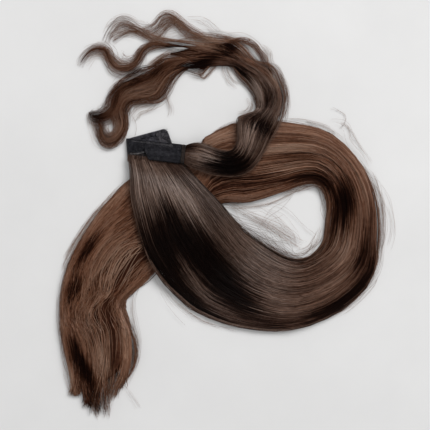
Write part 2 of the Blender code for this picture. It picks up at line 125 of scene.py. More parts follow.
# Plan of the wrapping strand, in the same columns
WRAP_ROWS = (
    (0.164, 0.070, 0.156, -0.034, 0.66, 1.00),
    (0.204, 0.066, 0.200, -0.048, 0.80, 1.00),
    (0.252, 0.046, 0.260, -0.062, 0.92, 1.00),
    (0.296, 0.036, 0.340, -0.064, 1.00, 1.00),
    (0.320, 0.044, 0.404, -0.032, 1.00, 1.00),
    (0.332, 0.072, 0.444, 0.024, 0.95, 1.00),
    (0.334, 0.120, 0.472, 0.080, 0.90, 1.00),
    (0.336, 0.168, 0.504, 0.140, 0.90, 0.72),
    (0.376, 0.186, 0.520, 0.184, 1.00, 0.34),
    (0.416, 0.204, 0.526, 0.224, 1.00, 0.08),
    (0.416, 0.240, 0.528, 0.260, 1.00, 0.00),
    (0.396, 0.288, 0.512, 0.316, 0.92, 0.00),
    (0.360, 0.330, 0.480, 0.376, 0.84, 0.00),
    (0.320, 0.376, 0.408, 0.400, 0.80, 0.00),
    (0.284, 0.396, 0.364, 0.448, 0.76, 0.00),
    (0.248, 0.392, 0.320, 0.480, 0.70, 0.00),
    (0.216, 0.368, 0.276, 0.488, 0.64, 0.04),
    (0.188, 0.344, 0.212, 0.496, 0.56, 0.08),
    (0.136, 0.358, 0.168, 0.500, 0.50, 0.10),
    (0.080, 0.368, 0.108, 0.488, 0.46, 0.10),
    (0.048, 0.376, 0.060, 0.480, 0.40, 0.10),
)

# Loose locks: x, y, share of LOCK_WIDTH, share of LOCK_DEPTH
TAIL_TIPS = {
    "tip_1": ((-0.292, -0.840, 0.60, 0.80), (-0.300, -0.900, 0.45, 0.60), (-0.312, -0.948, 0.12, 0.25)),
    "tip_2": ((-0.244, -0.860, 0.65, 0.90), (-0.252, -0.940, 0.50, 0.70), (-0.262, -0.996, 0.12, 0.25)),
    "tip_3": ((-0.212, -0.872, 0.60, 0.90), (-0.218, -0.952, 0.50, 0.75), (-0.226, -1.024, 0.12, 0.25)),
    "tip_4": ((-0.184, -0.872, 0.60, 0.90), (-0.190, -0.956, 0.45, 0.70), (-0.196, -1.032, 0.12, 0.25)),
    "tip_5": ((-0.150, -0.840, 0.60, 0.90), (-0.158, -0.904, 0.50, 0.70), (-0.172, -0.964, 0.12, 0.25)),
    "tip_6": ((-0.112, -0.812, 0.55, 0.80), (-0.124, -0.872, 0.40, 0.60), (-0.140, -0.924, 0.12, 0.25)),
}

WRAP_LOCKS = {
    "upper_curl": (
        (0.148, 0.408, 0.90, 0.75),
        (0.094, 0.406, 0.86, 0.85),
        (0.048, 0.374, 0.80, 0.95),
        (0.008, 0.336, 0.88, 1.00),
        (-0.052, 0.314, 0.95, 1.00),
        (-0.112, 0.288, 0.85, 0.90),
        (-0.140, 0.250, 0.72, 0.85),
        (-0.160, 0.208, 0.66, 0.80),
        (-0.196, 0.178, 0.62, 0.75),
        (-0.236, 0.176, 0.46, 0.60),
        (-0.254, 0.196, 0.16, 0.30),
    ),
    "ring_curl": (
        (0.132, 0.384, 0.75, 0.75),
        (0.076, 0.376, 0.80, 0.80),
        (0.046, 0.334, 0.90, 0.80),
        (0.014, 0.280, 0.95, 0.80),
        (-0.052, 0.264, 0.76, 0.75),
        (-0.110, 0.240, 0.66, 0.70),
        (-0.132, 0.192, 0.60, 0.65),
        (-0.124, 0.140, 0.54, 0.65),
        (-0.142, 0.096, 0.52, 0.60),
        (-0.178, 0.080, 0.54, 0.60),
        (-0.202, 0.102, 0.46, 0.55),
        (-0.212, 0.138, 0.38, 0.50),
        (-0.222, 0.172, 0.26, 0.40),
    ),
    "left_lock": (
        (0.100, 0.440, 0.60, 0.60),
        (0.048, 0.460, 0.48, 0.60),
        (-0.004, 0.468, 0.38, 0.60),
        (-0.040, 0.442, 0.34, 0.60),
        (-0.062, 0.404, 0.38, 0.60),
        (-0.092, 0.374, 0.56, 0.60),
        (-0.136, 0.372, 0.48, 0.55),
        (-0.168, 0.400, 0.36, 0.50),
        (-0.184, 0.432, 0.28, 0.45),
        (-0.202, 0.446, 0.22, 0.42),
        (-0.228, 0.448, 0.20, 0.40),
        (-0.258, 0.434, 0.18, 0.38),
        (-0.282, 0.406, 0.16, 0.35),
        (-0.296, 0.376, 0.12, 0.30),
    ),
    "left_arch": (
        (0.092, 0.472, 0.36, 0.50),
        (0.028, 0.486, 0.34, 0.50),
        (-0.018, 0.508, 0.28, 0.45),
        (-0.058, 0.530, 0.24, 0.42),
        (-0.104, 0.554, 0.22, 0.40),
        (-0.142, 0.546, 0.20, 0.40),
        (-0.170, 0.514, 0.18, 0.38),
        (-0.186, 0.472, 0.14, 0.35),
    ),
    "left_wisp": (
        (0.068, 0.458, 0.30, 0.45),
        (-0.004, 0.486, 0.28, 0.42),
        (-0.050, 0.516, 0.24, 0.40),
        (-0.092, 0.524, 0.22, 0.38),
        (-0.132, 0.508, 0.18, 0.36),
        (-0.170, 0.486, 0.16, 0.34),
    ),
    "top_arch": (
        (0.204, 0.466, 0.46, 0.55),
        (0.166, 0.494, 0.44, 0.55),
        (0.126, 0.532, 0.36, 0.50),
        (0.094, 0.564, 0.30, 0.45),
        (0.062, 0.584, 0.26, 0.42),
        (0.034, 0.574, 0.24, 0.40),
        (0.016, 0.548, 0.22, 0.38),
        (-0.010, 0.532, 0.18, 0.36),
        (-0.040, 0.526, 0.16, 0.36),
    ),
    "inner_arch": (
        (0.184, 0.456, 0.44, 0.52),
        (0.140, 0.510, 0.42, 0.52),
        (0.108, 0.542, 0.34, 0.48),
        (0.076, 0.556, 0.30, 0.45),
        (0.044, 0.536, 0.30, 0.45),
        (0.018, 0.508, 0.30, 0.45),
        (-0.022, 0.490, 0.30, 0.45),
    ),
    "outer_lock": (
        (0.472, 0.340, 0.34, 0.70),
        (0.456, 0.388, 0.34, 0.70),
        (0.430, 0.432, 0.30, 0.65),
        (0.398, 0.468, 0.28, 0.60),
        (0.352, 0.482, 0.28, 0.60),
        (0.300, 0.470, 0.30, 0.60),
    ),
}

# Where strands leave the wrapping strand's body for a lock: body row, place across, spread there, number,
# turns, how far the strands stand proud of the lock (in half widths), how far they fray towards the tip,
# the share of the piece's strand width that they have, how much they crowd to the middle, how much paler
LockPlan = namedtuple("LockPlan", "leave across spread strands twist loose fray width crowd paler")
LOCK_PLANS = {
    "ring_curl": LockPlan(19.2, -0.66, 0.38, 130, 0.10, 1.30, 0.40, 0.9, 0.2, 0.0),
    "upper_curl": LockPlan(19.0, -0.16, 0.48, 145, -0.12, 1.12, 0.50, 0.9, 0.2, 0.0),
    "left_lock": LockPlan(19.2, 0.42, 0.42, 64, 0.15, 1.35, 2.00, 0.54, 0.5, 0.07),
    "left_wisp": LockPlan(19.4, 0.62, 0.30, 26, 0.2, 2.30, 0.60, 0.46, 1.4, 0.20),
    "left_arch": LockPlan(19.2, 0.72, 0.30, 30, 0.2, 2.40, 0.60, 0.46, 1.4, 0.20),
    "inner_arch": LockPlan(17.0, 0.66, 0.34, 42, 0.2, 2.10, 0.70, 0.52, 1.2, 0.12),
    "top_arch": LockPlan(16.6, 0.78, 0.26, 34, -0.2, 2.00, 0.70, 0.50, 1.3, 0.18),
    "outer_lock": LockPlan(11.0, 0.90, 0.12, 34, 0.2, 1.30, 0.0, 0.80, 0.2, 0.0),
}

# Single hairs round the locks: how many, and how far out in half widths
LOCK_STRAYS = {
    "ring_curl": (60, 1.9),
    "upper_curl": (60, 1.9),
    "left_lock": (50, 3.2),
    "left_wisp": (20, 4.0),
    "left_arch": (22, 3.4),
    "inner_arch": (34, 3.4),
    "top_arch": (26, 2.8),
    "outer_lock": (14, 2.4),
}

# Thin hairs that lie loose on the floor and over gaps: points in millimetres from the lay's top left corner,
# number, how far they spread at their start and at their end
WISPS = (
    (((164, 58), (169, 74), (167, 92), (171, 108), (168, 120)), 9, 3, 4),
    (((168, 84), (158, 97), (146, 101), (134, 104), (127, 114)), 30, 4, 6),
    (((160, 92), (152, 106), (138, 112), (131, 122)), 9, 5, 5),
    (((122, 66), (110, 60), (100, 54), (90, 56), (82, 66)), 16, 2, 3),
    (((250, 96), (252, 106), (246, 113), (236, 113)), 14, 3, 3),
    (((232, 60), (226, 68), (230, 78), (240, 86)), 14, 4, 4),
    (((186, 18), (200, 20), (212, 27), (222, 40)), 7, 4, 4),
    (((176, 36), (192, 34), (214, 33), (236, 38), (252, 44)), 16, 3, 3),
    (((262, 44), (268, 50), (270, 62), (276, 74)), 14, 2, 3),
    (((276, 66), (285, 84), (288, 102), (284, 118)), 16, 3, 3),
    (((104, 34), (110, 24), (122, 17), (136, 22), (146, 26)), 10, 3, 3),
    (((104, 38), (116, 34), (130, 33), (148, 40)), 16, 4, 4),
    (((118, 24), (132, 29), (150, 36)), 8, 4, 4),
    (((150, 26), (166, 30), (182, 28), (196, 34)), 10, 5, 5),
    (((196, 68), (203, 78), (212, 70), (220, 62)), 22, 2, 2),
    (((172, 160), (184, 165), (198, 170)), 44, 2, 2),
    (((294, 256), (307, 251), (317, 241), (322, 226)), 12, 3, 3),
    (((100, 108), (92, 112), (92, 122), (96, 134), (104, 146)), 14, 2, 4),
    (((222, 200), (240, 211), (262, 223), (284, 235), (304, 247)), 15, 3, 4),
    (((222, 203), (248, 214), (276, 226), (300, 240), (318, 242)), 6, 3, 4),
    (((236, 208), (262, 205), (288, 214), (306, 232), (318, 246)), 4, 5, 6),
    (((258, 204), (280, 222), (292, 240), (290, 256)), 4, 8, 6),
    (((228, 200), (246, 228), (270, 246), (296, 254), (322, 236)), 2, 5, 6),
    (((300, 196), (286, 208), (270, 222), (262, 240)), 3, 8, 8),
    (((330, 124), (344, 126), (352, 140), (372, 168)), 8, 5, 5),
    (((338, 130), (344, 116), (330, 108)), 3, 3, 5),
    (((360, 160), (376, 180), (382, 210), (381, 246), (373, 276)), 9, 3, 4),
    (((372, 176), (386, 200), (392, 228), (384, 262)), 6, 4, 6),
    (((376, 262), (374, 284), (352, 308), (326, 322)), 9, 3, 4),
    (((160, 282), (178, 304), (204, 322), (240, 334)), 8, 2, 4),
    (((150, 268), (170, 300), (196, 322)), 3, 3, 8),
    (((120, 380), (126, 390), (134, 402), (140, 413)), 3, 2, 2),
    (((68, 360), (72, 384), (76, 398)), 18, 4, 3),
    (((64, 260), (58, 290), (58, 330), (63, 362)), 3, 2, 3),
    (((126, 180), (104, 202), (84, 227), (69, 252), (61, 272)), 26, 2, 3),
    (((140, 280), (132, 300), (134, 322), (138, 346), (132, 372)), 8, 3, 3),
    (((126, 372), (118, 388), (108, 402), (104, 420)), 20, 4, 3),
    (((130, 336), (134, 352), (132, 366), (121, 384)), 40, 3, 3),
    (((116, 350), (113, 368), (109, 386), (102, 406)), 90, 4, 3),
    (((76, 372), (84, 388), (94, 402), (101, 417)), 30, 4, 2),
    (((178, 51), (168, 53), (157, 59), (146, 67)), 44, 3, 2),
    (((84, 398), (92, 408), (98, 420)), 14, 3, 3),
    (((204, 140), (224, 126), (250, 120)), 10, 2, 2),
    (((276, 120), (300, 119), (326, 126), (346, 140)), 8, 2, 3),
    (((212, 206), (240, 208), (270, 204), (300, 190), (318, 188)), 8, 2, 3),
)

# How far the hair reaches towards its outer and its inner edge, in half widths, by row
EDGE_REACH = (
    (0, 1.00, 1.15),
    (1, 1.00, 1.06),
    (3, 1.01, 1.00),
    (5, 1.04, 0.93),
    (7, 1.04, 0.93),
    (8, 1.03, 0.95),
    (9, 1.01, 0.99),
    (10, 1.03, 1.00),
    (11, 0.99, 1.00),
    (12, 0.80, 1.01),
    (13, 0.86, 0.97),
    (14, 0.91, 0.97),
    (15, 0.97, 0.99),
    (17, 1.03, 0.95),
    (19, 1.00, 1.00),
    (23, 0.96, 1.02),
    (24, 0.90, 1.07),
    (26, 0.90, 1.13),
    (27, 0.89, 1.08),
    (28, 0.91, 1.00),
    (30, 0.97, 1.01),
    (32, 0.97, 1.00),
)
WRAP_REACH = (
    (0, 1.00, 1.00),
    (8, 1.00, 1.00),
    (10, 1.00, 0.93),
    (14, 1.03, 0.91),
    (16, 1.08, 0.95),
    (18, 1.14, 0.96),
    (19, 1.10, 0.98),
    (21, 1.00, 1.00),
)
SOFT_EDGE = 0.13

# Heights in metres: of the middle of hair that lies on the floor, of stray hair, and how far loose hair rises
LEAST_HEIGHT = 0.0005
STRAY_HEIGHT = 0.0006
WISP_RISE = 0.0030

# How hair that starts evenly spread lies over the tail: at each row, where the marked homes have got to
TAIL_FIRST_ROW = 22
TAIL_LAST_ROW = 31.0
TAIL_HOMES = (-1.0, -0.7, -0.3, 0.5, 1.0)
TAIL_FLOW = (
    (-1.0, -0.70, -0.30, 0.50, 1.0),
    (-1.0, -0.70, -0.31, 0.50, 1.0),
    (-1.0, -0.71, -0.32, 0.52, 1.0),
    (-1.0, -0.73, -0.30, 0.55, 1.0),
    (-1.0, -0.74, -0.33, 0.54, 1.0),
    (-1.0, -0.75, -0.40, 0.46, 1.0),
    (-1.0, -0.74, -0.40, 0.42, 1.0),
    (-1.0, -0.73, -0.36, 0.42, 1.0),
    (-1.0, -0.71, -0.33, 0.44, 1.0),
    (-1.0, -0.69, -0.30, 0.48, 1.0),
    (-1.0, -0.66, -0.26, 0.48, 1.0),
)

# Soft patches where the hair lies deeper and is painted darker as shade (below zero), or rises and is painted
# paler as a highlight (above zero): x, y, reach along and across, turn anticlockwise in degrees, strength.
# Lengths are in millimetres, and x runs right and y down from the lay's top left corner.
LAY_CORNER = np.array((-0.150, 0.142))
PATCH_FALL = 1.3

FRONT_PATCHES = (
    (152, 196, 22, 12, 0, 0.42),
    (184, 198, 20, 11, -40, 0.45),
    (196, 216, 20, 6, -48, 0.22),
    (168, 212, 9, 13, -20, -0.34),
    (206, 200, 16, 8, -50, -0.02),
    (216, 214, 20, 5, -46, -0.08),
    (150, 172, 24, 8, 0, 0.22),
    (178, 176, 16, 6, -45, -0.12),
    (166, 162, 34, 7, -4, -0.18),
    (166, 248, 36, 30, -50, -0.56),
    (205, 255, 40, 18, -50, -0.42),
    (232, 292, 40, 15, -48, -0.62),
    (188, 272, 20, 5, -55, 0.20),
    (210, 300, 30, 3, -42, 0.24),
    (186, 300, 44, 9, -48, -0.66),
    (212, 314, 26, 6, -30, -0.46),
    (252, 306, 14, 7, -38, -0.30),
    (268, 262, 52, 20, -35, 0.15),
    (284, 298, 34, 12, -18, 0.14),
    (298, 324, 40, 7, 12, -0.80),
    (248, 240, 26, 6, -35, 0.06),
)

LOOP_PATCHES = (
    (343, 252, 20, 14, 66, 0.24),
    (344, 206, 24, 9, 82, -0.88),
    (362, 256, 20, 7, 76, -0.56),
    (372, 268, 18, 6, 62, -0.62),
    (353, 294, 20, 7, 46, -0.60),
    (326, 311, 26, 7, 30, -0.62),
    (330, 286, 22, 7, 38, 0.16),
    (324, 182, 16, 8, -50, -0.44),
    (362, 200, 30, 7, 84, 0.10),
    (371, 214, 30, 4, 84, -0.24),
    (331, 143, 12, 4, -35, -0.34),
    (344, 156, 24, 9, -45, 0.06),
)

RETURN_PATCHES = (
    (295, 132, 26, 6, 0, 0.07),
    (290, 137, 12, 3, 5, -0.24),
    (285, 148, 34, 5, 4, 0.44),
    (300, 157, 20, 3, -8, -0.26),
    (288, 168, 30, 5, 8, 0.34),
    (306, 177, 14, 5, 20, -0.46),
    (262, 177, 26, 5, 10, -0.30),
    (244, 192, 26, 6, 8, 0.05),
    (222, 180, 16, 5, 0, -0.24),
    (214, 140, 16, 6, 30, 0.36),
)

TAIL_PATCHES = (
    (86, 251, 18, 7, 56, -0.58),
    (73, 290, 13, 6, 70, -0.74),
    (83, 366, 28, 9, -63, -0.86),
    (117, 358, 12, 5, 62, -0.50),
    (99, 290, 14, 4, 85, -0.10),
    (132, 228, 16, 6, 75, -0.12),
    (112, 258, 26, 15, 52, 0.20),
    (127, 266, 18, 9, 62, 0.78),
    (108, 284, 20, 6, 75, 0.22),
    (92, 316, 22, 12, 48, 0.12),
    (75, 320, 20, 6, 80, -0.10),
    (104, 352, 32, 9, 66, 0.30),
    (108, 366, 16, 5, 62, 0.34),
    (127, 340, 26, 8, -84, 0.24),
    (116, 382, 16, 6, 60, 0.20),
    (128, 205, 20, 6, 60, -0.14),
    (126, 182, 10, 10, 40, 0.10),
    (70, 380, 22, 6, -72, 0.40),
    (86, 394, 12, 6, -60, 0.30),
    (100, 404, 20, 8, -75, 0.16),
)

# Up to which row of the tress each of these counts. From there on the tail's patches do.
TRESS_PATCHES = ((9, FRONT_PATCHES), (14.6, LOOP_PATCHES), (20, RETURN_PATCHES))

# Patches of the wrapping strand, in the same columns: below zero painted shade, above zero painted highlight
WRAP_PATCHES = (
    (204, 157, 14, 7, -8, 0.34),
    (188, 147, 10, 5, -4, -0.30),
    (231, 163, 18, 13, 0, -0.86),
    (214, 166, 12, 5, -20, -0.30),
    (248, 138, 14, 7, 75, 0.28),
    (260, 125, 15, 7, -35, -0.64),
    (268, 98, 12, 6, 80, -0.36),
    (258, 92, 14, 4, -62, 0.48),
    (274, 80, 14, 5, 70, 0.26),
    (226, 50, 12, 7, 30, -0.56),
    (246, 48, 10, 5, -30, 0.32),
    (240, 71, 12, 6, -30, -0.46),
    (206, 62, 10, 6, 30, -0.54),
    (190, 66, 13, 4, 10, -0.50),
    (174, 49, 13, 5, 15, -0.56),
    (206, 47, 16, 4, -6, 0.10),
    (190, 40, 16, 4, -20, 0.24),
    (216, 39, 16, 4, 0, 0.32),
    (136, 76, 10, 8, 40, -0.36),
    (158, 66, 8, 9, 60, -0.22),
    (142, 90, 26, 6, 12, 0.22),
    (116, 93, 10, 5, 60, -0.26),
    (97, 116, 8, 7, 0, -0.42),
    (116, 128, 12, 5, 70, 0.24),
    (108, 140, 14, 4, 10, 0.02),
    (120, 64, 16, 5, 0, 0.20),
    (160, 34, 18, 5, 30, 0.16),
)

# Stray hairs that leave an edge and come back: first and last row, place across, bow, least and most rows
# that one spans, share that stays open at its end, number
Stray = namedtuple("Stray", "first last across bow least most open number")
TRESS_STRAYS = (
    Stray(2.0, 10.0, 0.95, 0.30, 5.5, 7.5, 0.0, 14),
    Stray(3.0, 9.0, 0.95, 0.10, 2.5, 5.0, 0.2, 16),
    Stray(5.0, 10.5, 1.02, 0.34, 1.5, 3.0, 0.8, 16),
    Stray(9.0, 14.5, -0.92, -0.12, 1.5, 4.0, 0.3, 22),
    Stray(10.0, 14.0, -0.95, -0.50, 1.5, 3.0, 0.6, 9),
    Stray(3.0, 9.5, -1.00, -0.07, 1.5, 4.0, 0.3, 50),
    Stray(12.0, 16.0, 1.02, 0.26, 1.0, 2.5, 0.6, 34),
    Stray(22.0, 31.0, -0.93, -0.12, 1.5, 4.0, 0.5, 40),
    Stray(23.0, 31.0, 1.00, 0.13, 1.5, 4.0, 0.5, 70),
    Stray(14.5, 18.5, -0.98, -0.10, 1.0, 2.5, 0.3, 20),
    Stray(3.0, 10.0, -0.99, -0.05, 1.5, 4.0, 0.2, 60),
    Stray(9.0, 16.0, -0.91, -0.05, 1.5, 4.0, 0.2, 60),
    Stray(8.0, 16.0, 0.99, 0.05, 1.0, 3.0, 0.2, 50),
    Stray(21.5, 31.0, -0.92, -0.05, 1.5, 3.5, 0.3, 80),
    Stray(22.5, 31.0, 0.99, 0.06, 1.5, 3.5, 0.3, 90),
)
WRAP_STRAYS = (
    Stray(7.0, 19.0, -0.99, -0.08, 1.5, 4.0, 0.3, 70),
    Stray(5.0, 19.0, 0.99, 0.08, 1.5, 4.0, 0.3, 80),
    Stray(8.0, 19.0, -1.05, -0.30, 2.0, 5.0, 0.5, 60),
    Stray(6.0, 19.0, 1.05, 0.32, 2.0, 5.0, 0.5, 70),
    Stray(0.5, 7.0, -1.00, -0.14, 1.5, 3.0, 0.3, 16),
    Stray(0.5, 7.0, 1.00, 0.12, 1.5, 3.0, 0.3, 16),
)

SEED = 20

# How the strands of the tress lie: how far past its inner edge they roll under it (in half widths), how many
# clumps they gather into, the row from which their points lie closer, and how close those lie in the
# layers that show and in the one below
HIDDEN = 0.34
CLUMPS = 40
TAIL_START_ROW = 21
MAIN_SPACING = (0.0112, 0.0140)
TAIL_SPACING = (0.0060, 0.0080)

# Of the top layer, this share lies loose, with this much more fluff and this share of a strand's width
LOOSE_SHARE = 0.16
LOOSE_FLUFF = 2.6
LOOSE_WIDTH = 0.62

# Points that carry a strand on into a tip of the tail, and points of each kind of single hair
TIP_STEPS = 8
LOCK_STRAY_STEPS = 22
ROOT_STEPS = 6
WISP_STEPS = 16

# Phases of the combed grooves, how deep patches press the hair in (shares of its height, and metres for the
# strands that fill the wrapping strand's body), and how much patches count as painted shade and highlight in
# the wrapping strand's tone
TRESS_PHASE = 0.7
WRAP_PHASE = 2.9
TRESS_PATCH_DEPTH = 0.16
WRAP_PATCH_DEPTH = 0.22
BODY_PATCH_DEPTH = 0.0012
WRAP_PATCH_TONE = 1.3


class Value:
    """A node's output, on which arithmetic adds Math nodes."""

    def __init__(self, tree, socket):
        self.tree = tree
        self.socket = socket

    def other(self, name):
        return Value(self.tree, self.socket.node.outputs[name])

    def math(self, operation, *values):
        return self.tree.node("ShaderNodeMath", {"operation": operation}, dict(enumerate(values)))

    def __add__(self, other):
        return self.math("ADD", self, other)

    def __sub__(self, other):
        return self.math("SUBTRACT", self, other)

    def __mul__(self, other):
        return self.math("MULTIPLY", self, other)


class Tree:
    """A node tree that is written as expressions."""

    def __init__(self, tree):
        self.tree = tree

    def node(self, kind, settings=None, sockets=None, output=0):
        made = self.tree.nodes.new(kind)
        for name, setting in (settings or {}).items():
            if name == "stops":
                self.set_stops(made.color_ramp, setting)
            else:
                setattr(made, name, setting)
        for key, value in (sockets or {}).items():
            if isinstance(value, Value):
                self.tree.links.new(value.socket, made.inputs[key])
            else:
                made.inputs[key].default_value = value
        return Value(self, made.outputs[output]) if made.outputs else None

    @staticmethod
    def set_stops(ramp, stops):
        while len(ramp.elements) < len(stops):
            ramp.elements.new(1)
        for element, (position, colour) in zip(ramp.elements, stops):
            element.position = position
            element.color = (*colour, 1)

    def mix_colours(self, factor, first, second):
        settings = {"data_type": "RGBA"}
        return self.node("ShaderNodeMix", settings, {0: factor, 6: first, 7: second}, output=2)

    def noise(self, vector, scale, detail=2.0, roughness=0.5):
        sockets = {"Vector": vector, "Scale": scale, "Detail": detail, "Roughness": roughness}
        return self.node("ShaderNodeTexNoise", None, sockets)


def new_material(name):
    material = bpy.data.materials.new(name)
    material.use_nodes = True
    material.node_tree.nodes.clear()
    return material, Tree(material.node_tree)


def finish_material(tree, inputs):
    shader = tree.node("ShaderNodeBsdfPrincipled", None, inputs)
    tree.node("ShaderNodeOutputMaterial", None, {"Surface": shader})


def direction(turn):
    return Vector((cos(turn), sin(turn)))


def downward(turn):
    """Square to a tape that runs at this angle, from its upper edge to its lower one."""
    return Vector((sin(turn), -cos(turn)))


FOLD_TOP = -direction(FLAP_TURN) * FLAP_LENGTH / 2 - downward(FLAP_TURN) * TAPE_WIDTH / 2
FOLD_TURN = (FLAP_TURN + FRONT_TURN) / 2
FOLD_LINE = downward(FOLD_TURN) * TAPE_WIDTH / cos((FLAP_TURN - FRONT_TURN) / 2)


def on_flap(along, across):
    return FOLD_TOP + direction(FLAP_TURN) * along + downward(FLAP_TURN) * across


def on_front(along, across):
    return FOLD_TOP + direction(FRONT_TURN) * along + downward(FRONT_TURN) * across


SEWN_MIDDLE = np.array(on_front(HEADING_INSET + HEADING_LENGTH / 2, TAPE_WIDTH))
LAY_SIZE = np.array((LAY_ACROSS, LAY_ALONG))


def in_plan(shares):
    return SEWN_MIDDLE + np.asarray(shares) * LAY_SIZE


def body_rows(root, table, depth):
    """Rows in metres: outer x and y, inner x and y, depth, lift."""
    rows = np.array(table)
    rows[:, 0:2] = in_plan(rows[:, 0:2])
    rows[:, 2:4] = in_plan(rows[:, 2:4])
    rows[:, 4] *= depth
    rows[:, 5] *= CROSSING_LIFT
    return np.vstack([root, rows])


def lock_rows(table):
    """Rows in metres: x, y, width, depth."""
    rows = np.array(table)
    rows[:, 0:2] = in_plan(rows[:, 0:2])
    rows[:, 2] *= LOCK_WIDTH
    rows[:, 3] *= LOCK_DEPTH
    return rows


def eased(rows, places):
    """Rows read at places between them, on a smooth curve through each column."""
    padded = np.vstack([rows[0], rows, rows[-1]])
    start = np.clip(np.floor(places).astype(int), 0, len(rows) - 2)
    t = (places - start)[..., None]
    a, b, c, d = (padded[start + k] for k in range(4))
    return (2 * b + (c - a) * t + (2 * a - 5 * b + 4 * c - d) * t**2 + (3 * b - a - 3 * c + d) * t**3) / 2


def smoothstep(low, high, value):
    t = np.clip((value - low) / (high - low), 0, 1)
    return t * t * (3 - 2 * t)


def dome(across):
    return EDGE_SHARE + (1 - EDGE_SHARE) * np.sqrt(np.maximum(1 - np.abs(across)**DOME_POWER, 0))


def waves(chance, count, longest, shortest):
    """A smooth wandering value made of a few sines, as a function of one number."""
    lengths = chance.uniform(shortest, longest, count)
    phases = chance.uniform(0, 2 * pi, count)
    shares = chance.uniform(0.5, 1, count)
    shares /= shares.sum()

    def at(value):
        return sum(share * np.sin(2 * pi * value / length + phase)
                   for share, length, phase in zip(shares, lengths, phases))

    return at


def ridges(across, place, phase):
    """Combed ridges (1) and grooves (-1) over the hair, which wander slowly along it."""
    value = 0.5 * np.sin(2 * pi * (2.6 * across + 0.055 * place) + phase)
    value += 0.3 * np.sin(2 * pi * (5.3 * across - 0.08 * place) + 2.1 * phase + 1)
    value += 0.2 * np.sin(2 * pi * (9.1 * across + 0.13 * place) + 3.7 * phase + 2)
    return value


def streaks(across, place):
    """Fine light and dark lines over the hair, which run with it and break up where strands cross them."""
    value = np.sin(2 * pi * (17.3 * across + 0.21 * place) + 3 * np.sin(0.9 * place + 4 * across))
    value += np.sin(2 * pi * (28.7 * across - 0.34 * place) + 2 * np.sin(1.7 * place - 6 * across))
    return value / 2


def from_corner(points):
    """Points in metres from points in millimetres to the right of the lay's top left corner and below it."""
    return LAY_CORNER + np.array(points, dtype=float) / (1000, -1000)


def patch_sum(patches, points):
    """How much the patches lower or raise the hair, and darken it with painted shade or lighten it with a
    painted highlight, at each point.
    """
    total = np.zeros(points.shape[:-1])
    for x, y, reach_along, reach_across, turn, strength in patches:
        centre = from_corner((x, y))
        turn = radians(turn)
        right, up = points[..., 0] - centre[0], points[..., 1] - centre[1]
        along = (right * cos(turn) + up * sin(turn)) / (reach_along / 1000)
        across = (up * cos(turn) - right * sin(turn)) / (reach_across / 1000)
        total += strength * np.exp(-(along**2 + across**2)**PATCH_FALL)
    return total


Strand = namedtuple("Strand", "points girth tone warmth")


def strand_tree():
    """Closed strands along the edges of a mesh of guide lines."""
    tree = Tree(bpy.data.node_groups.new("hair_strands", "GeometryNodeTree"))
    face = tree.tree.interface
    face.new_socket("Guides", in_out="INPUT", socket_type="NodeSocketGeometry")
    sizes = {
        "Strand width": ("NodeSocketFloat", 0.0005),
        "Frizz reach": ("NodeSocketFloat", 0.0002),
        "Frizz grain": ("NodeSocketFloat", 60.0),
        "Strand band": ("NodeSocketFloat", 0.001),
    }
    for name, (kind, start) in sizes.items():
        face.new_socket(name, in_out="INPUT", socket_type=kind).default_value = start
    face.new_socket("Finish", in_out="INPUT", socket_type="NodeSocketMaterial")
    group = tree.node("NodeGroupInput")

    def read(name):
        settings = {"data_type": "FLOAT"}
        return tree.node("GeometryNodeInputNamedAttribute", settings, {"Name": name})

    place = tree.node("GeometryNodeInputPosition")
    frizz = tree.noise(place, group.other("Frizz grain"), 1.0).other("Color")
    centred = tree.node("ShaderNodeVectorMath", {"operation": "SUBTRACT"}, {0: frizz, 1: (0.5, 0.5, 0.5)})
    scaled = tree.node("ShaderNodeVectorMath", {"operation": "SCALE"},
                       {0: centred, "Scale": group.other("Frizz reach")})
    moved = tree.node("GeometryNodeSetPosition", None, {"Geometry": group, "Offset": scaled})
    curve = tree.node("GeometryNodeMeshToCurve", None, {"Mesh": moved})
    profile = tree.node("GeometryNodeCurvePrimitiveCircle", None, {"Resolution": 3, "Radius": 0.5})
    corner = tree.tree.nodes.new("GeometryNodeCaptureAttribute")
    corner.capture_items.new("INT", "corner")
    tree.tree.links.new(profile.socket, corner.inputs[0])
    tree.tree.links.new(tree.node("GeometryNodeInputIndex").socket, corner.inputs[1])
    width = read("girth") * group.other("Strand width")
    tubes = tree.node("GeometryNodeCurveToMesh", None, {
        "Curve": curve, "Profile Curve": Value(tree, corner.outputs[0]), "Scale": width, "Fill Caps": True,
    })
    side = Value(tree, corner.outputs[1]) * 0.45
    up = read("rank") + side * group.other("Strand band")
    spot = tree.node("ShaderNodeCombineXYZ", None, {"X": read("along"), "Y": up})
    mapped = tree.node("GeometryNodeStoreNamedAttribute", {"data_type": "FLOAT2", "domain": "CORNER"},
                       {"Geometry": tubes, "Name": "OFBake", "Value": spot})
    real = tree.node("GeometryNodeRealizeInstances", None, {"Geometry": mapped})
    finished = tree.node("GeometryNodeSetMaterial", None,
                         {"Geometry": real, "Material": group.other("Finish")})
    face.new_socket("Geometry", in_out="OUTPUT", socket_type="NodeSocketGeometry")
    tree.node("NodeGroupOutput", None, {0: finished})
    return tree.tree


STRAND_TREE = strand_tree()


def set_inputs(modifier, values):
    for item in modifier.node_group.interface.items_tree:
        if item.item_type == "SOCKET" and item.in_out == "INPUT" and item.name in values:
            modifier[item.identifier] = values[item.name]


def plain_mesh(piece):
    """The piece's evaluated shape as its own mesh, with no modifier left."""
    evaluated = piece.evaluated_get(bpy.context.evaluated_depsgraph_get())
    mesh = bpy.data.meshes.new_from_object(evaluated)
    mesh.name = piece.name
    old = piece.data
    piece.modifiers.clear()
    piece.data = mesh
    bpy.data.meshes.remove(old)


def new_piece(name, mesh):
    piece = bpy.data.objects.new(name, mesh)
    bpy.context.scene.collection.objects.link(piece)
    return piece


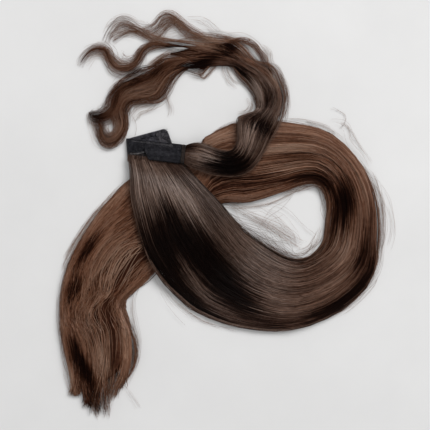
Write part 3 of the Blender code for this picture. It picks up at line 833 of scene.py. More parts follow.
def faced_piece(name, bm, finish):
    """A piece from faces, which are all turned the same way out."""
    bmesh.ops.recalc_face_normals(bm, faces=bm.faces)
    mesh = bpy.data.meshes.new(name)
    bm.to_mesh(mesh)
    bm.free()
    mesh.materials.append(finish)
    return new_piece(name, mesh)


def hair_piece(name, strands, finish):
    """Closed strands, each with a band of the piece's own map."""
    width, frizz, grain = STRAND_LOOKS[name]
    counts = [len(strand.points) for strand in strands]
    points = np.concatenate([strand.points for strand in strands])
    starts = np.cumsum([0, *counts[:-1]])
    edges = np.concatenate([
        np.stack([np.arange(start, start + count - 1), np.arange(start + 1, start + count)], axis=1)
        for start, count in zip(starts, counts)
    ])
    mesh = bpy.data.meshes.new(name)
    mesh.vertices.add(len(points))
    mesh.vertices.foreach_set("co", points.astype(np.float32).ravel())
    mesh.edges.add(len(edges))
    mesh.edges.foreach_set("vertices", edges.astype(np.int32).ravel())
    columns = {
        "girth": np.concatenate([strand.girth for strand in strands]),
        "tone": np.concatenate([strand.tone for strand in strands]),
        "warmth": np.concatenate([strand.warmth for strand in strands]),
        "along": np.concatenate([np.linspace(0.002, 0.998, count) for count in counts]),
        "rank": np.concatenate([np.full(count, (k + 0.05) / len(counts)) for k, count in enumerate(counts)]),
    }
    for column, values in columns.items():
        attribute = mesh.attributes.new(column, "FLOAT", "POINT")
        attribute.data.foreach_set("value", values.astype(np.float32))
    piece = new_piece(name, mesh)
    modifier = piece.modifiers.new("strands", "NODES")
    modifier.node_group = STRAND_TREE
    set_inputs(modifier, {
        "Strand width": width,
        "Frizz reach": frizz,
        "Frizz grain": grain,
        "Strand band": 1 / len(counts),
        "Finish": finish,
    })
    plain_mesh(piece)
    for column in ("girth", "along", "rank"):
        piece.data.attributes.remove(piece.data.attributes[column])
    return piece


def girths(count, root, tip, narrowing=0.09):
    """Full width along a strand, which narrows over its last part."""
    t = np.linspace(0, 1, count)
    return np.interp(t, (0, 0.03, 1 - narrowing, 1), (root, 1, 1, tip))


def shifted(values, steps):
    """A row of values moved along the strand, so that patches end in uneven fingers."""
    places = np.arange(len(values))
    return np.interp(places + steps, places, values)


TRESS_ROOT = (
    *on_front(HEADING_INSET, TAPE_WIDTH + PIECE_GAP),
    *on_front(HEADING_INSET + HEADING_LENGTH, TAPE_WIDTH + PIECE_GAP),
    HEADING_WALL,
    SEWN_Z,
)
WRAP_ALONG = WRAP_START + WRAP_HEADING_LENGTH + PIECE_GAP
WRAP_ROOT = (*on_front(WRAP_ALONG, 0), *on_front(WRAP_ALONG, TAPE_WIDTH), WRAP_HEADING_WALL, SEWN_Z)

TRESS = body_rows(TRESS_ROOT, TRESS_ROWS, TRESS_DEPTH)
WRAP = body_rows(WRAP_ROOT, WRAP_ROWS, WRAP_DEPTH)

# Along the tress, as row and value: how deep its grooves are, how far it waves, how much it gathers into
# locks, how far it has rolled outward over its own width (in radians), how far single hairs fluff out,
# how warm and how pale it is
GROOVE_DEPTH = ((0, 0.05), (2, 0.08), (8, 0.12), (14, 0.18), (20, 0.18), (24, 0.22), (32, 0.24))
WAVE_REACH = ((0, 0.0), (3, 0.01), (13, 0.03), (16, 0.06), (20, 0.07), (23, 0.10), (26, 0.145), (32, 0.12))
GATHER = ((0, 0.08), (6, 0.10), (14, 0.18), (22, 0.24), (27, 0.26), (30, 0.28), (32, 0.34))
ROLL = ((0, 0.0), (4, 0.02), (8, 0.24), (13, 0.72), (17, 0.92), (22, 0.98), (32, 1.05))
FLUFF = ((0, 0.008), (8, 0.010), (13, 0.016), (20, 0.028), (25, 0.070), (32, 0.080))
WARMTH = ((0, 0.05), (7, 0.12), (9, 0.40), (12, 0.66), (14, 0.94), (17, 1.0), (24, 1.0), (32, 1.0))
BASE_TONE = (
    (0, 0.44), (3, 0.48), (8, 0.50), (12, 0.54), (16, 0.58), (20, 0.59), (24, 0.62), (29, 0.63), (32, 0.58),
)


def along_tress(table, places):
    rows, values = zip(*table)
    return np.interp(places, rows, values)


def run_lengths(points):
    """How far each point lies along the line through all of them."""
    return np.concatenate([[0], np.cumsum(np.linalg.norm(np.diff(points, axis=0), axis=1))])


def with_height(plan, height):
    return np.concatenate([plan, height[..., None]], axis=-1)


def middle_and_half(found):
    """The middle of each section in plan, and the way from there to its inner edge."""
    return (found[..., 0:2] + found[..., 2:4]) / 2, (found[..., 2:4] - found[..., 0:2]) / 2


def sideways_of(line):
    """Unit steps to the left of a line in plan, at each of its points."""
    step = np.gradient(line, axis=0)
    step /= np.linalg.norm(step, axis=1)[:, None]
    return np.stack([-step[:, 1], step[:, 0]], axis=1)


def relaxed(points, low, high, rounds):
    """The points, with those from low up to high drawn halfway to their neighbours' middle in each round."""
    for _ in range(rounds):
        middle = points[low:high]
        points[low:high] = middle + 0.5 * ((points[low - 1:high - 1] + points[low + 1:high + 1]) / 2 - middle)
    return points


def stations(rows, spacing, first, last):
    """Places along a body, as row numbers, about this far apart on its middle line."""
    fine = np.linspace(first, last, 2000)
    middle, _ = middle_and_half(eased(rows, fine))
    length = run_lengths(middle)
    count = max(int(round(length[-1] / spacing)), 3)
    return np.interp(np.linspace(0, length[-1], count + 1), length, fine)


def body_points(rows, places, across, share):
    """Points of the hair: share is the height between its underside (0) and its top (1)."""
    found = eased(rows, places)
    middle, half = middle_and_half(found)
    plan = middle + half * across[..., None]
    height = np.maximum(found[..., 5], 0) + found[..., 4] * dome(np.clip(across, -1, 1)) * share
    return with_height(plan, height)


def to_edges(table, places, across):
    """Places across, stretched or drawn in to where the hair's edges are."""
    rows, outer, inner = zip(*table)
    return across * np.where(across < 0, np.interp(places, rows, outer), np.interp(places, rows, inner))


def tail_flow(places, across):
    """Where the strands of the tail have swept to, as they cross it in an S."""
    marks = eased(np.array(TAIL_FLOW), np.clip(places - TAIL_FIRST_ROW, 0, len(TAIL_FLOW) - 1))
    swept = np.array([np.interp(spot, TAIL_HOMES, mark) for spot, mark in zip(across, marks)])
    return np.where(places > TAIL_FIRST_ROW, swept, across)


def tress_strands(chance, number, layer, end_spread):
    """Long strands from the root to the tail. layer is how deep they lie: 0 is the top."""
    below = int(layer >= 1)
    main = stations(TRESS, MAIN_SPACING[below], 0, TAIL_START_ROW)
    tail = stations(TRESS, TAIL_SPACING[below], TAIL_START_ROW, TAIL_LAST_ROW)[1:]
    places = np.concatenate([main, tail])
    homes = (np.arange(number) + chance.uniform(0.1, 0.9, number)) / number * (2 + HIDDEN) - 1
    clumps = np.sort(chance.uniform(-1, 1 + HIDDEN, CLUMPS))
    tips = [lock_rows(table) for table in TAIL_TIPS.values()]
    return [tress_strand(chance, home, layer, end_spread, places, clumps, tips) for home in homes]


def tress_strand(chance, home, layer, end_spread, places, clumps, tips):
    wander = waves(chance, 3, 26, 8)
    lift = waves(chance, 3, 12, 4)
    fine = waves(chance, 3, 3.4, 1.1)
    loose = layer == 0 and chance.random() < LOOSE_SHARE
    fluff = LOOSE_FLUFF if loose else 1.0
    clump = clumps[np.argmin(np.abs(clumps - home + chance.normal(0, 0.02)))]
    pulled = home + (clump - home) * along_tress(GATHER, places)
    angle = np.where(pulled <= 1, np.arccos(np.clip(pulled, -1, 1)), -np.arccos(np.clip(2 - pulled, -1, 1)))
    angle = angle + along_tress(ROLL, places)
    on_top = smoothstep(-0.25, 0.15, angle) * smoothstep(pi + 0.25, pi - 0.15, angle)
    across = np.cos(angle)
    room = 1 - across**2
    across = across + 0.11 * wander(places) * room
    across = tail_flow(places, across)
    phase = 2 * pi * places / 3.1 + 2.2 * across + 0.9 * sin(5 * clump + 2 * layer)
    across = across + along_tress(WAVE_REACH, places) * np.sin(phase) * room
    across = np.clip(across + fluff * along_tress(FLUFF, places) * fine(places), -1.04, 1.04)
    across = to_edges(EDGE_REACH, places, across * (1 - SOFT_EDGE * chance.uniform(0, 1)**1.3))
    ridge = ridges(across + 0.10 * np.sin(phase) * smoothstep(20, 26, places), places, TRESS_PHASE)
    streak = streaks(across, places)
    groove = along_tress(GROOVE_DEPTH, places)
    share = (1 - groove * (1 - ridge) / 2) * (1 - 0.10 * layer) - 0.02 * (1 + lift(places))
    share = (share + 0.03 * loose) * (0.06 + 0.94 * on_top)
    plan = body_points(TRESS, places, across, share)
    patches = np.select(
        [places < last for last, _ in TRESS_PATCHES],
        [patch_sum(table, plan) for _, table in TRESS_PATCHES],
        patch_sum(TAIL_PATCHES, plan),
    )
    share = share + TRESS_PATCH_DEPTH * np.clip(patches, -1, 0.4) * on_top
    points = body_points(TRESS, places, across, np.maximum(share, 0.05))
    patches = shifted(patches, chance.normal(0, 0.7))
    strayed = [abs(tip[1, 0] - points[-1, 0] + chance.normal(0, 0.003)) + 0.10 * tip[-1, 1] for tip in tips]
    nearest = np.argmin(strayed)
    points = add_tip(chance, points, tips[nearest], end_spread)
    padding = (0, TIP_STEPS)
    # Painted light in the tone: deeper layers and the grooves are darker as painted shade, the ridges paler,
    # and the patches add painted shade and highlights
    contrast = 0.075 + 0.035 * smoothstep(20, 25, places)
    tone = along_tress(BASE_TONE, places) + contrast * ridge + 0.085 * streak - 0.13 * layer
    tone = tone + chance.normal(0, 0.11) + 0.07 * loose + 0.08 * fine(places * 1.7)
    tone = np.pad(tone + patches, padding, mode="edge")
    warmth = np.pad(along_tress(WARMTH, places) + chance.normal(0, 0.08), padding, mode="edge")
    kept = len(points)
    kept -= int((9 if layer < 1 else 7) * chance.uniform(0, 1)**1.8)
    points[:, 2] = np.maximum(points[:, 2], LEAST_HEIGHT)
    width = LOOSE_WIDTH if loose else chance.uniform(0.75, 1.2)
    girth = girths(kept, 1.0, 0.2, 0.045) * width
    return Strand(points[:kept], girth, tone[:kept], np.clip(warmth[:kept], 0, 1))


def add_tip(chance, points, tip, spread):
    """Points that carry a tail strand on into one of the tips."""
    found = eased(tip, np.linspace(1.3, 2.0 - 0.6 * chance.uniform(0, spread)**1.5, TIP_STEPS))
    side = chance.normal(0, 0.50)
    height = chance.uniform(0.2, 1.0)
    shift = found[:, 2] * side + np.linspace(0, chance.normal(0, 0.0028), TIP_STEPS)
    more = np.stack([found[:, 0] + shift, found[:, 1], found[:, 3] * height + STRAY_HEIGHT], axis=1)
    joined = np.concatenate([points, more])
    return relaxed(joined, len(points) - 9, len(joined) - 1, 16)


def lock_points(table, places, side, up):
    """Points within a loose lock: side and up are shares of its half width and depth."""
    rows = lock_rows(table)
    found = eased(rows, places)
    plan = found[:, 0:2] + sideways_of(found[:, 0:2]) * (found[:, 2] / 2 * side)[:, None]
    return with_height(plan, found[:, 3] * (0.5 + 0.5 * up))


def resampled(points, columns, spacing):
    """A line of points with even spacing, and its columns of values read at the same places."""
    length = run_lengths(points)
    count = max(int(round(length[-1] / spacing)), 4)
    even = np.linspace(0, length[-1], count + 1)
    line = np.stack([np.interp(even, length, points[:, k]) for k in range(3)], axis=1)
    return line, [np.interp(even, length, column) for column in columns]


def wrap_strands(chance, names):
    """Strands that run through the wrapping strand's body and end in its locks."""
    order = sorted(LOCK_PLANS, key=lambda name: LOCK_PLANS[name].across)
    total = sum(LOCK_PLANS[name].strands for name in order)
    strands = []
    passed = 0
    for name in order:
        plan = LOCK_PLANS[name]
        homes = 2 * (passed + np.arange(plan.strands) + chance.uniform(0, 1, plan.strands)) / total - 1
        passed += plan.strands
        if name in names:
            strands += [wrap_strand(chance, name, plan, home) for home in homes]
    return strands


def wrap_strand(chance, name, plan, home):
    side = chance.uniform(-1, 1)
    side *= abs(side)**plan.crowd
    up = chance.uniform(-1, 1) * sqrt(1 - 0.8 * side * side)
    places = stations(WRAP, 0.0050, 0, plan.leave)
    wander = waves(chance, 3, 9, 3)
    lift = waves(chance, 2, 6, 2.5)
    near = smoothstep(plan.leave - 4, plan.leave, places)
    across = home + (plan.across + plan.spread * side - home) * near + 0.12 * wander(places) * (1 - home**2)
    wavy = 0.20 * smoothstep(8, 12, places) * smoothstep(plan.leave, plan.leave - 3, places) * (1 - home**2)
    across += wavy * np.sin(2 * pi * places / 3.6 + 1.6 * home)
    across = np.clip(across, -1.03, 1.03) * (1 - SOFT_EDGE * chance.uniform(0, 1))
    across = to_edges(WRAP_REACH, places, across)
    ridge = ridges(across, places * 2, WRAP_PHASE)
    depth = chance.uniform(0, 1)**2
    share = (1 - 0.11 * (1 - ridge)) * (1 - 0.28 * depth) - 0.03 * lift(places)
    spots = body_points(WRAP, places, across, share)
    share += WRAP_PATCH_DEPTH * np.clip(patch_sum(WRAP_PATCHES, spots), -1, 0.4)
    points = body_points(WRAP, places, across, np.maximum(share, 0.12))
    rows = len(WRAP_LOCKS[name])
    last = rows - 1 - chance.uniform(0, 1)**2 * 0.20 * rows
    along = np.linspace(1.0, last, 64)
    gone = along / (rows - 1)
    turn = 2 * pi * plan.twist * gone
    spread = plan.loose * (1 + plan.fray * gone**2) * (1 + 0.10 * lift(along))
    fine = waves(chance, 3, 2.4, 0.8)
    loose_wave = (0.14 * wander(along * 1.6) + 0.07 * plan.loose * fine(along)) * (1 + plan.fray * gone)
    ripple = 0.16 * np.sin(2 * pi * along / 3.1 + 2.5 * side) * smoothstep(1, 3, along)
    sideways = spread * (side * np.cos(turn) - 0.6 * up * np.sin(turn)) + loose_wave + ripple
    upward = np.clip(up * np.cos(turn) + 0.6 * side * np.sin(turn), -0.95, 1)
    more = lock_points(WRAP_LOCKS[name], along, sideways, upward)
    if name == "outer_lock":
        back = np.linspace(16.5, 20 - chance.uniform(0, 2), 16)
        more = np.concatenate([more, body_points(WRAP, back, np.full(16, plan.across), np.full(16, 0.9))])
    joined = relaxed(np.concatenate([points, more]), len(points) - 12, len(points) + 12, 30)
    marks = np.concatenate([ridge + 0.7 * streaks(across, places), np.full(len(more), sin(7 * side) * 0.6)])
    line, (mark,) = resampled(joined, (marks,), 0.0048)
    line[:, 2] = np.maximum(line[:, 2], LEAST_HEIGHT)
    patches = shifted(patch_sum(WRAP_PATCHES, line), chance.normal(0, 1.0))
    part = np.linspace(0, 1, len(line))
    # Painted light in the tone: deeper strands and the grooves are darker as painted shade, the ridges paler,
    # and the patches add painted shade and highlights
    tone = 0.55 + 0.11 * mark - 0.12 * depth + chance.normal(0, 0.10) + WRAP_PATCH_TONE * patches
    tone += plan.paler * smoothstep(0.5, 0.8, part)
    warmth = 0.12 + (0.70 + 1.4 * plan.paler) * smoothstep(0.35, 0.65, part) + chance.normal(0, 0.1)
    warmth = np.clip(warmth, 0, 1)
    width = plan.width * chance.uniform(0.7, 1.15)
    return Strand(line, girths(len(line), 1.0, 0.3) * width, tone, warmth)


def body_strands(chance, number):
    """Shorter strands that fill the wrapping strand's body and end within its last rows."""
    strands = []
    for _ in range(number):
        last = 20.9 - 4.5 * chance.uniform(0, 1)**2
        first = chance.uniform(0, 9)
        places = stations(WRAP, 0.0042, first, last)
        wander = waves(chance, 3, 7, 2.5)
        home = chance.uniform(-1, 1)
        swing = 0.20 * wander(places) + 0.12 * np.sin(2 * pi * places / 3.3 + 1.6 * home)
        across = home + swing * (1 - home**2)
        across = np.clip(across, -1.02, 1.02) * (1 - SOFT_EDGE * chance.uniform(0, 1))
        across = to_edges(WRAP_REACH, places, across)
        mark = ridges(across, places * 2, WRAP_PHASE) + 0.7 * streaks(across, places)
        depth = chance.uniform(0, 1)
        share = (0.94 - 0.12 * (1 - mark) / 2) * (1 - 0.30 * depth)
        points = body_points(WRAP, places, across, np.maximum(share, 0.12))
        patches = patch_sum(WRAP_PATCHES, points)
        points[:, 2] = np.maximum(points[:, 2] + BODY_PATCH_DEPTH * np.clip(patches, -1, 0), LEAST_HEIGHT)
        # Painted light in the tone: deeper strands and the grooves are darker as painted shade, the ridges
        # paler, and the patches add painted shade and highlights
        tone = 0.53 + 0.10 * mark - 0.12 * depth + chance.normal(0, 0.09) + WRAP_PATCH_TONE * patches
        warmth = 0.12 + 0.62 * smoothstep(12, 17, places) + chance.normal(0, 0.1)
        width = chance.uniform(0.6, 1.0)
        strands.append(Strand(points, girths(len(points), 0.4, 0.2) * width, tone, np.clip(warmth, 0, 1)))
    return strands


def lock_core(name, share, finish):
    """A thin body inside a loose lock, painted dark for the shade within it."""
    table = WRAP_LOCKS[name]
    places = np.linspace(0.6, len(table) - 1.6, 5 * len(table))
    ends = np.sin(np.linspace(0, pi, len(places)))**0.4
    columns = [lock_points(table, places, share * cos(turn) * ends, -0.25 + share * sin(turn) * ends * 0.75)
               for turn in np.linspace(0, 2 * pi, LOCK_CORE_SIDES, endpoint=False)]
    rings = np.stack(columns, axis=1)
    # Painted shade: a dark tone with the patches' painted shade and highlights
    tones = 0.30 + 0.6 * patch_sum(WRAP_PATCHES, rings)
    return tube_piece(name + "_core", rings, tones, np.full(len(places), 0.70), finish)


def single_hair(chance, points, tone, warmth, ends, widths):
    """A thin strand of one colour: a middle and a spread for tone and warmth, a range of widths."""
    count = len(points)
    tones = np.full(count, chance.normal(*tone))
    warmths = np.full(count, np.clip(chance.normal(*warmth), 0, 1))
    return Strand(points, girths(count, *ends) * chance.uniform(*widths), tones, warmths)


def stray_strands(chance, rows, strays, warmth_at, spacing):
    """Single hairs that bow away from an edge of a body and come back to it."""
    strands = []
    for stray in strays:
        for _ in range(stray.number):
            reach = chance.uniform(stray.least, stray.most)
            first = chance.uniform(stray.first, max(stray.last - reach, stray.first + 0.1))
            last = min(first + reach, len(rows) - 1)
            places = stations(rows, spacing, first, last)
            t = (places - first) / (last - first)
            bow = stray.bow * chance.uniform(0.1, 1.0)**1.5
            wander = waves(chance, 3, 5, 1.5)
            open_end = chance.random() < stray.open
            shape = t**1.5 if open_end else np.sin(pi * t)
            across = stray.across * 0.97 + bow * shape + 0.05 * wander(places) * abs(stray.bow) * 3
            found = eased(rows, places)
            middle, half = middle_and_half(found)
            plan = middle + half * across[:, None]
            lifted = np.maximum(found[:, 5], 0)
            height = lifted + found[:, 4] * EDGE_SHARE * chance.uniform(0.6, 3.0) * (1 + 0.3 * wander(places))
            outside = smoothstep(1.0, 1.3, np.abs(across))
            points = with_height(plan, np.maximum(height * (1 - 0.6 * outside), STRAY_HEIGHT))
            warmth = (0.2 + 0.8 * warmth_at(first), 0.06)
            strands.append(single_hair(chance, points, (0.64, 0.10), warmth, (1.0, 0.5), (0.7, 1.2)))
    return strands


def lock_stray_strands(chance):
    """Single hairs that follow a lock loosely and spread out beyond it."""
    strands = []
    for name, (number, reach) in LOCK_STRAYS.items():
        rows = len(WRAP_LOCKS[name])
        for _ in range(number):
            first = chance.uniform(0.3, 0.55 * rows)
            last = min(first + chance.uniform(2.0, 6.0), rows - 1)
            along = np.linspace(first, last, LOCK_STRAY_STEPS)
            part = (along - first) / (last - first)
            wander = waves(chance, 3, 5, 1.5)
            side = chance.uniform(-1, 1)
            drift = np.sign(side) * reach * chance.uniform(0.1, 1)**1.6
            side = side + drift * part**1.4 + 0.35 * wander(along)
            up = np.full(LOCK_STRAY_STEPS, chance.uniform(-0.3, 1.0))
            points = lock_points(WRAP_LOCKS[name], along, side, up)
            points[:, 2] = np.maximum(points[:, 2] * (1 - 0.5 * part), STRAY_HEIGHT)
            strands.append(single_hair(chance, points, (0.62, 0.08), (0.75, 0.08), (1.0, 0.5), (0.7, 1.2)))
    return strands


def root_strands(chance, number):
    """Roots of the tress that lie over the sewn weft, up to its row of stitches."""
    strands = []
    parts = np.linspace(0, 1, ROOT_STEPS)
    for along in chance.uniform(HEADING_INSET, TAB_START + TAB_CORNER, number):
        drift = chance.normal(0, 0.0006)
        start = TAPE_WIDTH - 0.0028 + chance.normal(0, 0.0003)
        rise = TAPE_WIDTH + 0.0045 - start
        plan = [on_front(along + drift * part, start + rise * part) for part in parts]
        top = SEWN_Z + HEADING_WALL + chance.uniform(0.0001, 0.0005)
        points = np.array([(*place, top - 0.0004 * part**2) for place, part in zip(plan, parts)])
        tone = np.full(ROOT_STEPS, 0.45 + chance.normal(0, 0.10))
        girth = girths(ROOT_STEPS, 0.5, 0.3) * chance.uniform(0.8, 1.2)
        strands.append(Strand(points, girth, tone, np.full(ROOT_STEPS, 0.05)))
    return strands


def wisp_strands(chance):
    """Single hairs along the wisps' lines, which drift apart and come down to the floor."""
    strands = []
    for marks, number, start, end in WISPS:
        line = from_corner(marks)
        for _ in range(number):
            first = chance.uniform(0, 0.45) * (len(line) - 1)
            last = len(line) - 1 - chance.uniform(0, 0.4) * (len(line) - 1 - first)
            places = np.linspace(first, last, WISP_STEPS)
            found = eased(line, places)
            part = places / (len(line) - 1)
            wander = waves(chance, 3, 3, 0.8)
            spread = (start + (end - start) * part) / 1000
            drift = chance.normal(0, 0.6) + chance.normal(0, 0.5) * part + 0.28 * wander(places)
            plan = found + sideways_of(found) * (spread * drift)[:, None]
            rise = WISP_RISE * chance.uniform(0, 1) * (1 + wander(places * 0.7)) / 2
            points = with_height(plan, STRAY_HEIGHT + rise)
            strands.append(single_hair(chance, points, (0.80, 0.12), (0.9, 0.1), (0.5, 0.3), (0.6, 1.1)))
    return strands


# Layers of the tress from below: name, number of strands, depth, how unevenly they end
TRESS_LAYERS = (
    ("under", 190, 1.2, 0.9),
    ("middle", 290, 0.55, 0.8),
    ("top", 340, 0.0, 0.7),
)

# Layers of the wrapping strand: name, the locks they end in, number of strands that end in the body
WRAP_LAYERS = (
    ("curls", ("ring_curl", "upper_curl"), 40),
    ("left", ("left_lock", "left_wisp", "left_arch"), 40),
    ("top", ("top_arch", "inner_arch", "outer_lock"), 50),
)
CORED_LOCKS = ("ring_curl", "upper_curl", "left_lock")
LOCK_CORE_SHARE = 0.62
LOCK_CORE_SIDES = 10
CORE_SIDES = 72
CORE_CLEARANCE = 0.0004
ROOT_NUMBER = 130
FUZZ_NUMBER = 1500
FLAP_FUZZ_SHARE = 0.34

# Strands of each piece: width and how far they frizz, in metres, and how fine the frizz is
STRAND_LOOKS = {
    "felt_fibres": (0.00016, 0.0002, 300.0),
    "tress_hair_under": (0.00072, 0.0002, 60.0),
    "tress_hair_middle": (0.00058, 0.0002, 60.0),
    "tress_hair_top": (0.00052, 0.0002, 60.0),
    "tress_roots": (0.00045, 0.0002, 60.0),
    "tress_strays": (0.00024, 0.0012, 25.0),
    "wrap_hair_curls": (0.00046, 0.0006, 45.0),
    "wrap_hair_left": (0.00046, 0.0006, 45.0),
    "wrap_hair_top": (0.00046, 0.0006, 45.0),
    "wrap_strays": (0.00022, 0.0012, 30.0),
    "loose_hairs": (0.00020, 0.0010, 30.0),
}

# Colours by tone, from deep shade to pale
ASH_HAIR = (
    (0.0, (0.0032, 0.0013, 0.0009)),
    (0.25, (0.0145, 0.0068, 0.0045)),
    (0.50, (0.0640, 0.0385, 0.0285)),
    (0.75, (0.1500, 0.1020, 0.0810)),
    (1.0, (0.2600, 0.1980, 0.1700)),
)
RED_HAIR = (
    (0.0, (0.0060, 0.0014, 0.0006)),
    (0.25, (0.0290, 0.0088, 0.0040)),
    (0.50, (0.1180, 0.0450, 0.0220)),
    (0.75, (0.2200, 0.1120, 0.0680)),
    (1.0, (0.2900, 0.1800, 0.1250)),
)
TAPE_FIBRES = (
    (0.0, (0.0020, 0.0020, 0.0028)),
    (0.35, (0.0130, 0.0128, 0.0160)),
    (0.60, (0.0560, 0.0540, 0.0620)),
    (1.0, (0.2400, 0.2300, 0.2300)),
)


def toned_shade(tree, grain, reach):
    """The strand's tone, which holds its colour with painted shade and highlights, with a fine mottle over
    it.
    """
    tone = tree.node("ShaderNodeAttribute", {"attribute_name": "tone"}, output="Fac")
    place = tree.node("ShaderNodeTexCoord", output="Object")
    return tone + (tree.noise(place, grain) - 0.5) * reach


def hair_material(name):
    """Brown hair: tone runs from deep shade to pale, warmth from ash to red brown."""
    material, tree = new_material(name)
    warmth = tree.node("ShaderNodeAttribute", {"attribute_name": "warmth"}, output="Fac")
    shade = toned_shade(tree, 260.0, 0.22)
    ash = tree.node("ShaderNodeValToRGB", {"stops": ASH_HAIR}, {"Fac": shade})
    red = tree.node("ShaderNodeValToRGB", {"stops": RED_HAIR}, {"Fac": shade})
    gloss = tree.node("ShaderNodeMapRange", None, {
        "Value": shade, "From Min": 0.25, "From Max": 0.80, "To Min": 0.0, "To Max": 0.55,
    })
    finish_material(tree, {
        "Base Color": tree.mix_colours(warmth, ash, red),
        "Roughness": 0.42,
        "Specular IOR Level": 0.04,
        "Coat Weight": gloss,
        "Coat Roughness": 0.32,
        "Coat Tint": (1.0, 0.95, 0.92, 1),
    })
    return material


def tube_piece(name, rings, tones, warmths, finish):
    """A smooth closed body through rings of points, with a tone for each point and a warmth for each ring."""
    bm = bmesh.new()
    tone = bm.verts.layers.float.new("tone")
    warmth = bm.verts.layers.float.new("warmth")
    uv = bm.loops.layers.uv.new("OFBake")
    last, around = len(rings) - 1, len(rings[0])
    made_rings = []
    for ring, ring_tones, ring_warmth in zip(rings, tones, warmths):
        made_rings.append([bm.verts.new(point) for point in ring])
        for vertex, vertex_tone in zip(made_rings[-1], ring_tones):
            vertex[tone] = vertex_tone
            vertex[warmth] = ring_warmth
    for k, (ring, following) in enumerate(zip(made_rings, made_rings[1:])):
        for j in range(around):
            after = (j + 1) % around
            made = bm.faces.new((ring[j], ring[after], following[after], following[j]))
            for loop, (a, b) in zip(made.loops, ((k, j), (k, j + 1), (k + 1, j + 1), (k + 1, j))):
                loop[uv].uv = (0.01 + 0.94 * a / last, 0.01 + 0.98 * b / around)
    for ring, left in ((made_rings[0], 0.965), (made_rings[-1], 0.985)):
        made = bm.faces.new(ring)
        for loop, turn in zip(made.loops, np.linspace(0, 2 * pi, around, endpoint=False)):
            loop[uv].uv = (left + 0.008 * cos(turn), 0.5 + 0.4 * sin(turn))
    piece = faced_piece(name, bm, finish)
    piece.data.shade_smooth()
    return piece


# How a core runs: rows of its body, last row, rows over which it thins out, spacing of its rings in metres,
# share of the body's width and height, phase of its combed grooves, table of its edges, its patches
Core = namedtuple("Core", "rows last taper spacing width height phase edges patches")
TRESS_CORE = Core(TRESS, 31.6, 2.2, 0.005, 0.80, 0.80, TRESS_PHASE, EDGE_REACH, ())
WRAP_CORE = Core(WRAP, 20.5, 3.4, 0.003, 0.74, 0.60, WRAP_PHASE, WRAP_REACH, WRAP_PATCHES)


def core_piece(name, core, warmth_at, finish):
    """The body under the strands, painted dark for the shade deep in the hair, with combed grooves. It thins
    out over its last rows.
    """
    turns = np.linspace(0, 2 * pi, CORE_SIDES, endpoint=False)
    upper = np.sin(turns) >= -1e-9
    lean = np.cos(turns) * core.width
    places = stations(core.rows, core.spacing, 0, core.last)
    rings = []
    tones = []
    for place in places:
        spots = np.full(CORE_SIDES, place)
        full = 0.12 + 0.88 * float(smoothstep(core.last, core.last - core.taper, place))
        ridge = ridges(lean, place, core.phase)
        share = np.where(upper, core.height * full * (1 - 0.12 * (1 - ridge)), 0.0)
        points = body_points(core.rows, spots, to_edges(core.edges, spots, lean * full), share)
        points[:, 2] += np.where(upper, 0, CORE_CLEARANCE)
        rings.append(points)
        # Painted shade: a dark tone, darker in the grooves and paler on the ridges, with the patches' painted
        # shade and highlights
        tones.append(0.26 + 0.10 * ridge + 0.6 * patch_sum(core.patches, points))
    return tube_piece(name, rings, tones, [warmth_at(place) for place in places], finish)


def felt_material(name, base, pale, grain):
    """Felted loop tape: mottled charcoal with a fibrous nap. It is worn paler low down, on the flap."""
    material, tree = new_material(name)
    place = tree.node("ShaderNodeTexCoord", output="Object")
    height = tree.node("ShaderNodeSeparateXYZ", None, {0: place}, output="Z")
    low = tree.node("ShaderNodeMapRange", None, {
        "Value": height, "From Min": TAPE_WALL, "From Max": 2 * TAPE_WALL, "To Min": 0.85, "To Max": 0.0,
    })
    clouds = tree.noise(place, grain * 0.35, 2.0)
    fibres = tree.noise(place, grain, 4.0, 0.7)
    factor = (clouds - 0.5) * 2.2 + (fibres - 0.5) * 0.9 + 0.38
    fresh = tree.mix_colours(factor, (*base, 1), (*pale, 1))
    worn = tree.mix_colours(factor, (*pale, 1), (*(4.6 * share for share in pale), 1))
    bump = tree.node("ShaderNodeBump", None, {"Strength": 0.7, "Distance": 0.0004, "Height": fibres})
    finish_material(tree, {
        "Base Color": tree.mix_colours(low, fresh, worn),
        "Roughness": 0.95,
        "Normal": bump,
        "Specular IOR Level": 0.06,
        "Sheen Weight": 0.08,
        "Sheen Roughness": 0.6,
    })
    return material


def cloth_piece(name, rows, wall, finish):
    """A strip of tape round a grid of middle points, with rounded edges."""
    bm = bmesh.new()
    grid = [[bm.verts.new(point) for point in row] for row in rows]
    for row, following in zip(grid, grid[1:]):
        for k in range(len(row) - 1):
            bm.faces.new((row[k], row[k + 1], following[k + 1], following[k]))
    piece = faced_piece(name, bm, finish)
    solidify = piece.modifiers.new("wall", "SOLIDIFY")
    solidify.thickness = wall
    solidify.offset = 0
    solidify.use_even_offset = True
    bevel = piece.modifiers.new("soft edge", "BEVEL")
    bevel.width = wall * 0.30
    bevel.segments = 2
    bevel.angle_limit = radians(50)
    smooth = piece.modifiers.new("smooth", "SUBSURF")
    smooth.levels = 1
    smooth.render_levels = 1
    plain_mesh(piece)
    piece.data.shade_smooth()
    return piece


def uneven(chance, rows, reach):
    """The grid's points with a slight cloth-like unevenness upward."""
    bumps_x = waves(chance, 3, 0.03, 0.009)
    bumps_y = waves(chance, 3, 0.02, 0.007)
    return [[(x, y, z + reach * (bumps_x(x) + bumps_y(y)) / 2) for x, y, z in row] for row in rows]


# The flap's cut end: share of the tape's width, how far it bows out there in tape widths
FLAP_END = (
    (0.0, -0.17),
    (0.08, -0.07),
    (0.16, -0.02),
    (0.33, 0.01),
    (0.5, 0.02),
    (0.65, 0.025),
    (0.8, 0.03),
    (1.0, 0.05),
)
FLAT_STEPS = 12
FOLD_STEPS = 8
TAB_RISE_FROM = 0.50
TAB_RISE_TO = 0.70


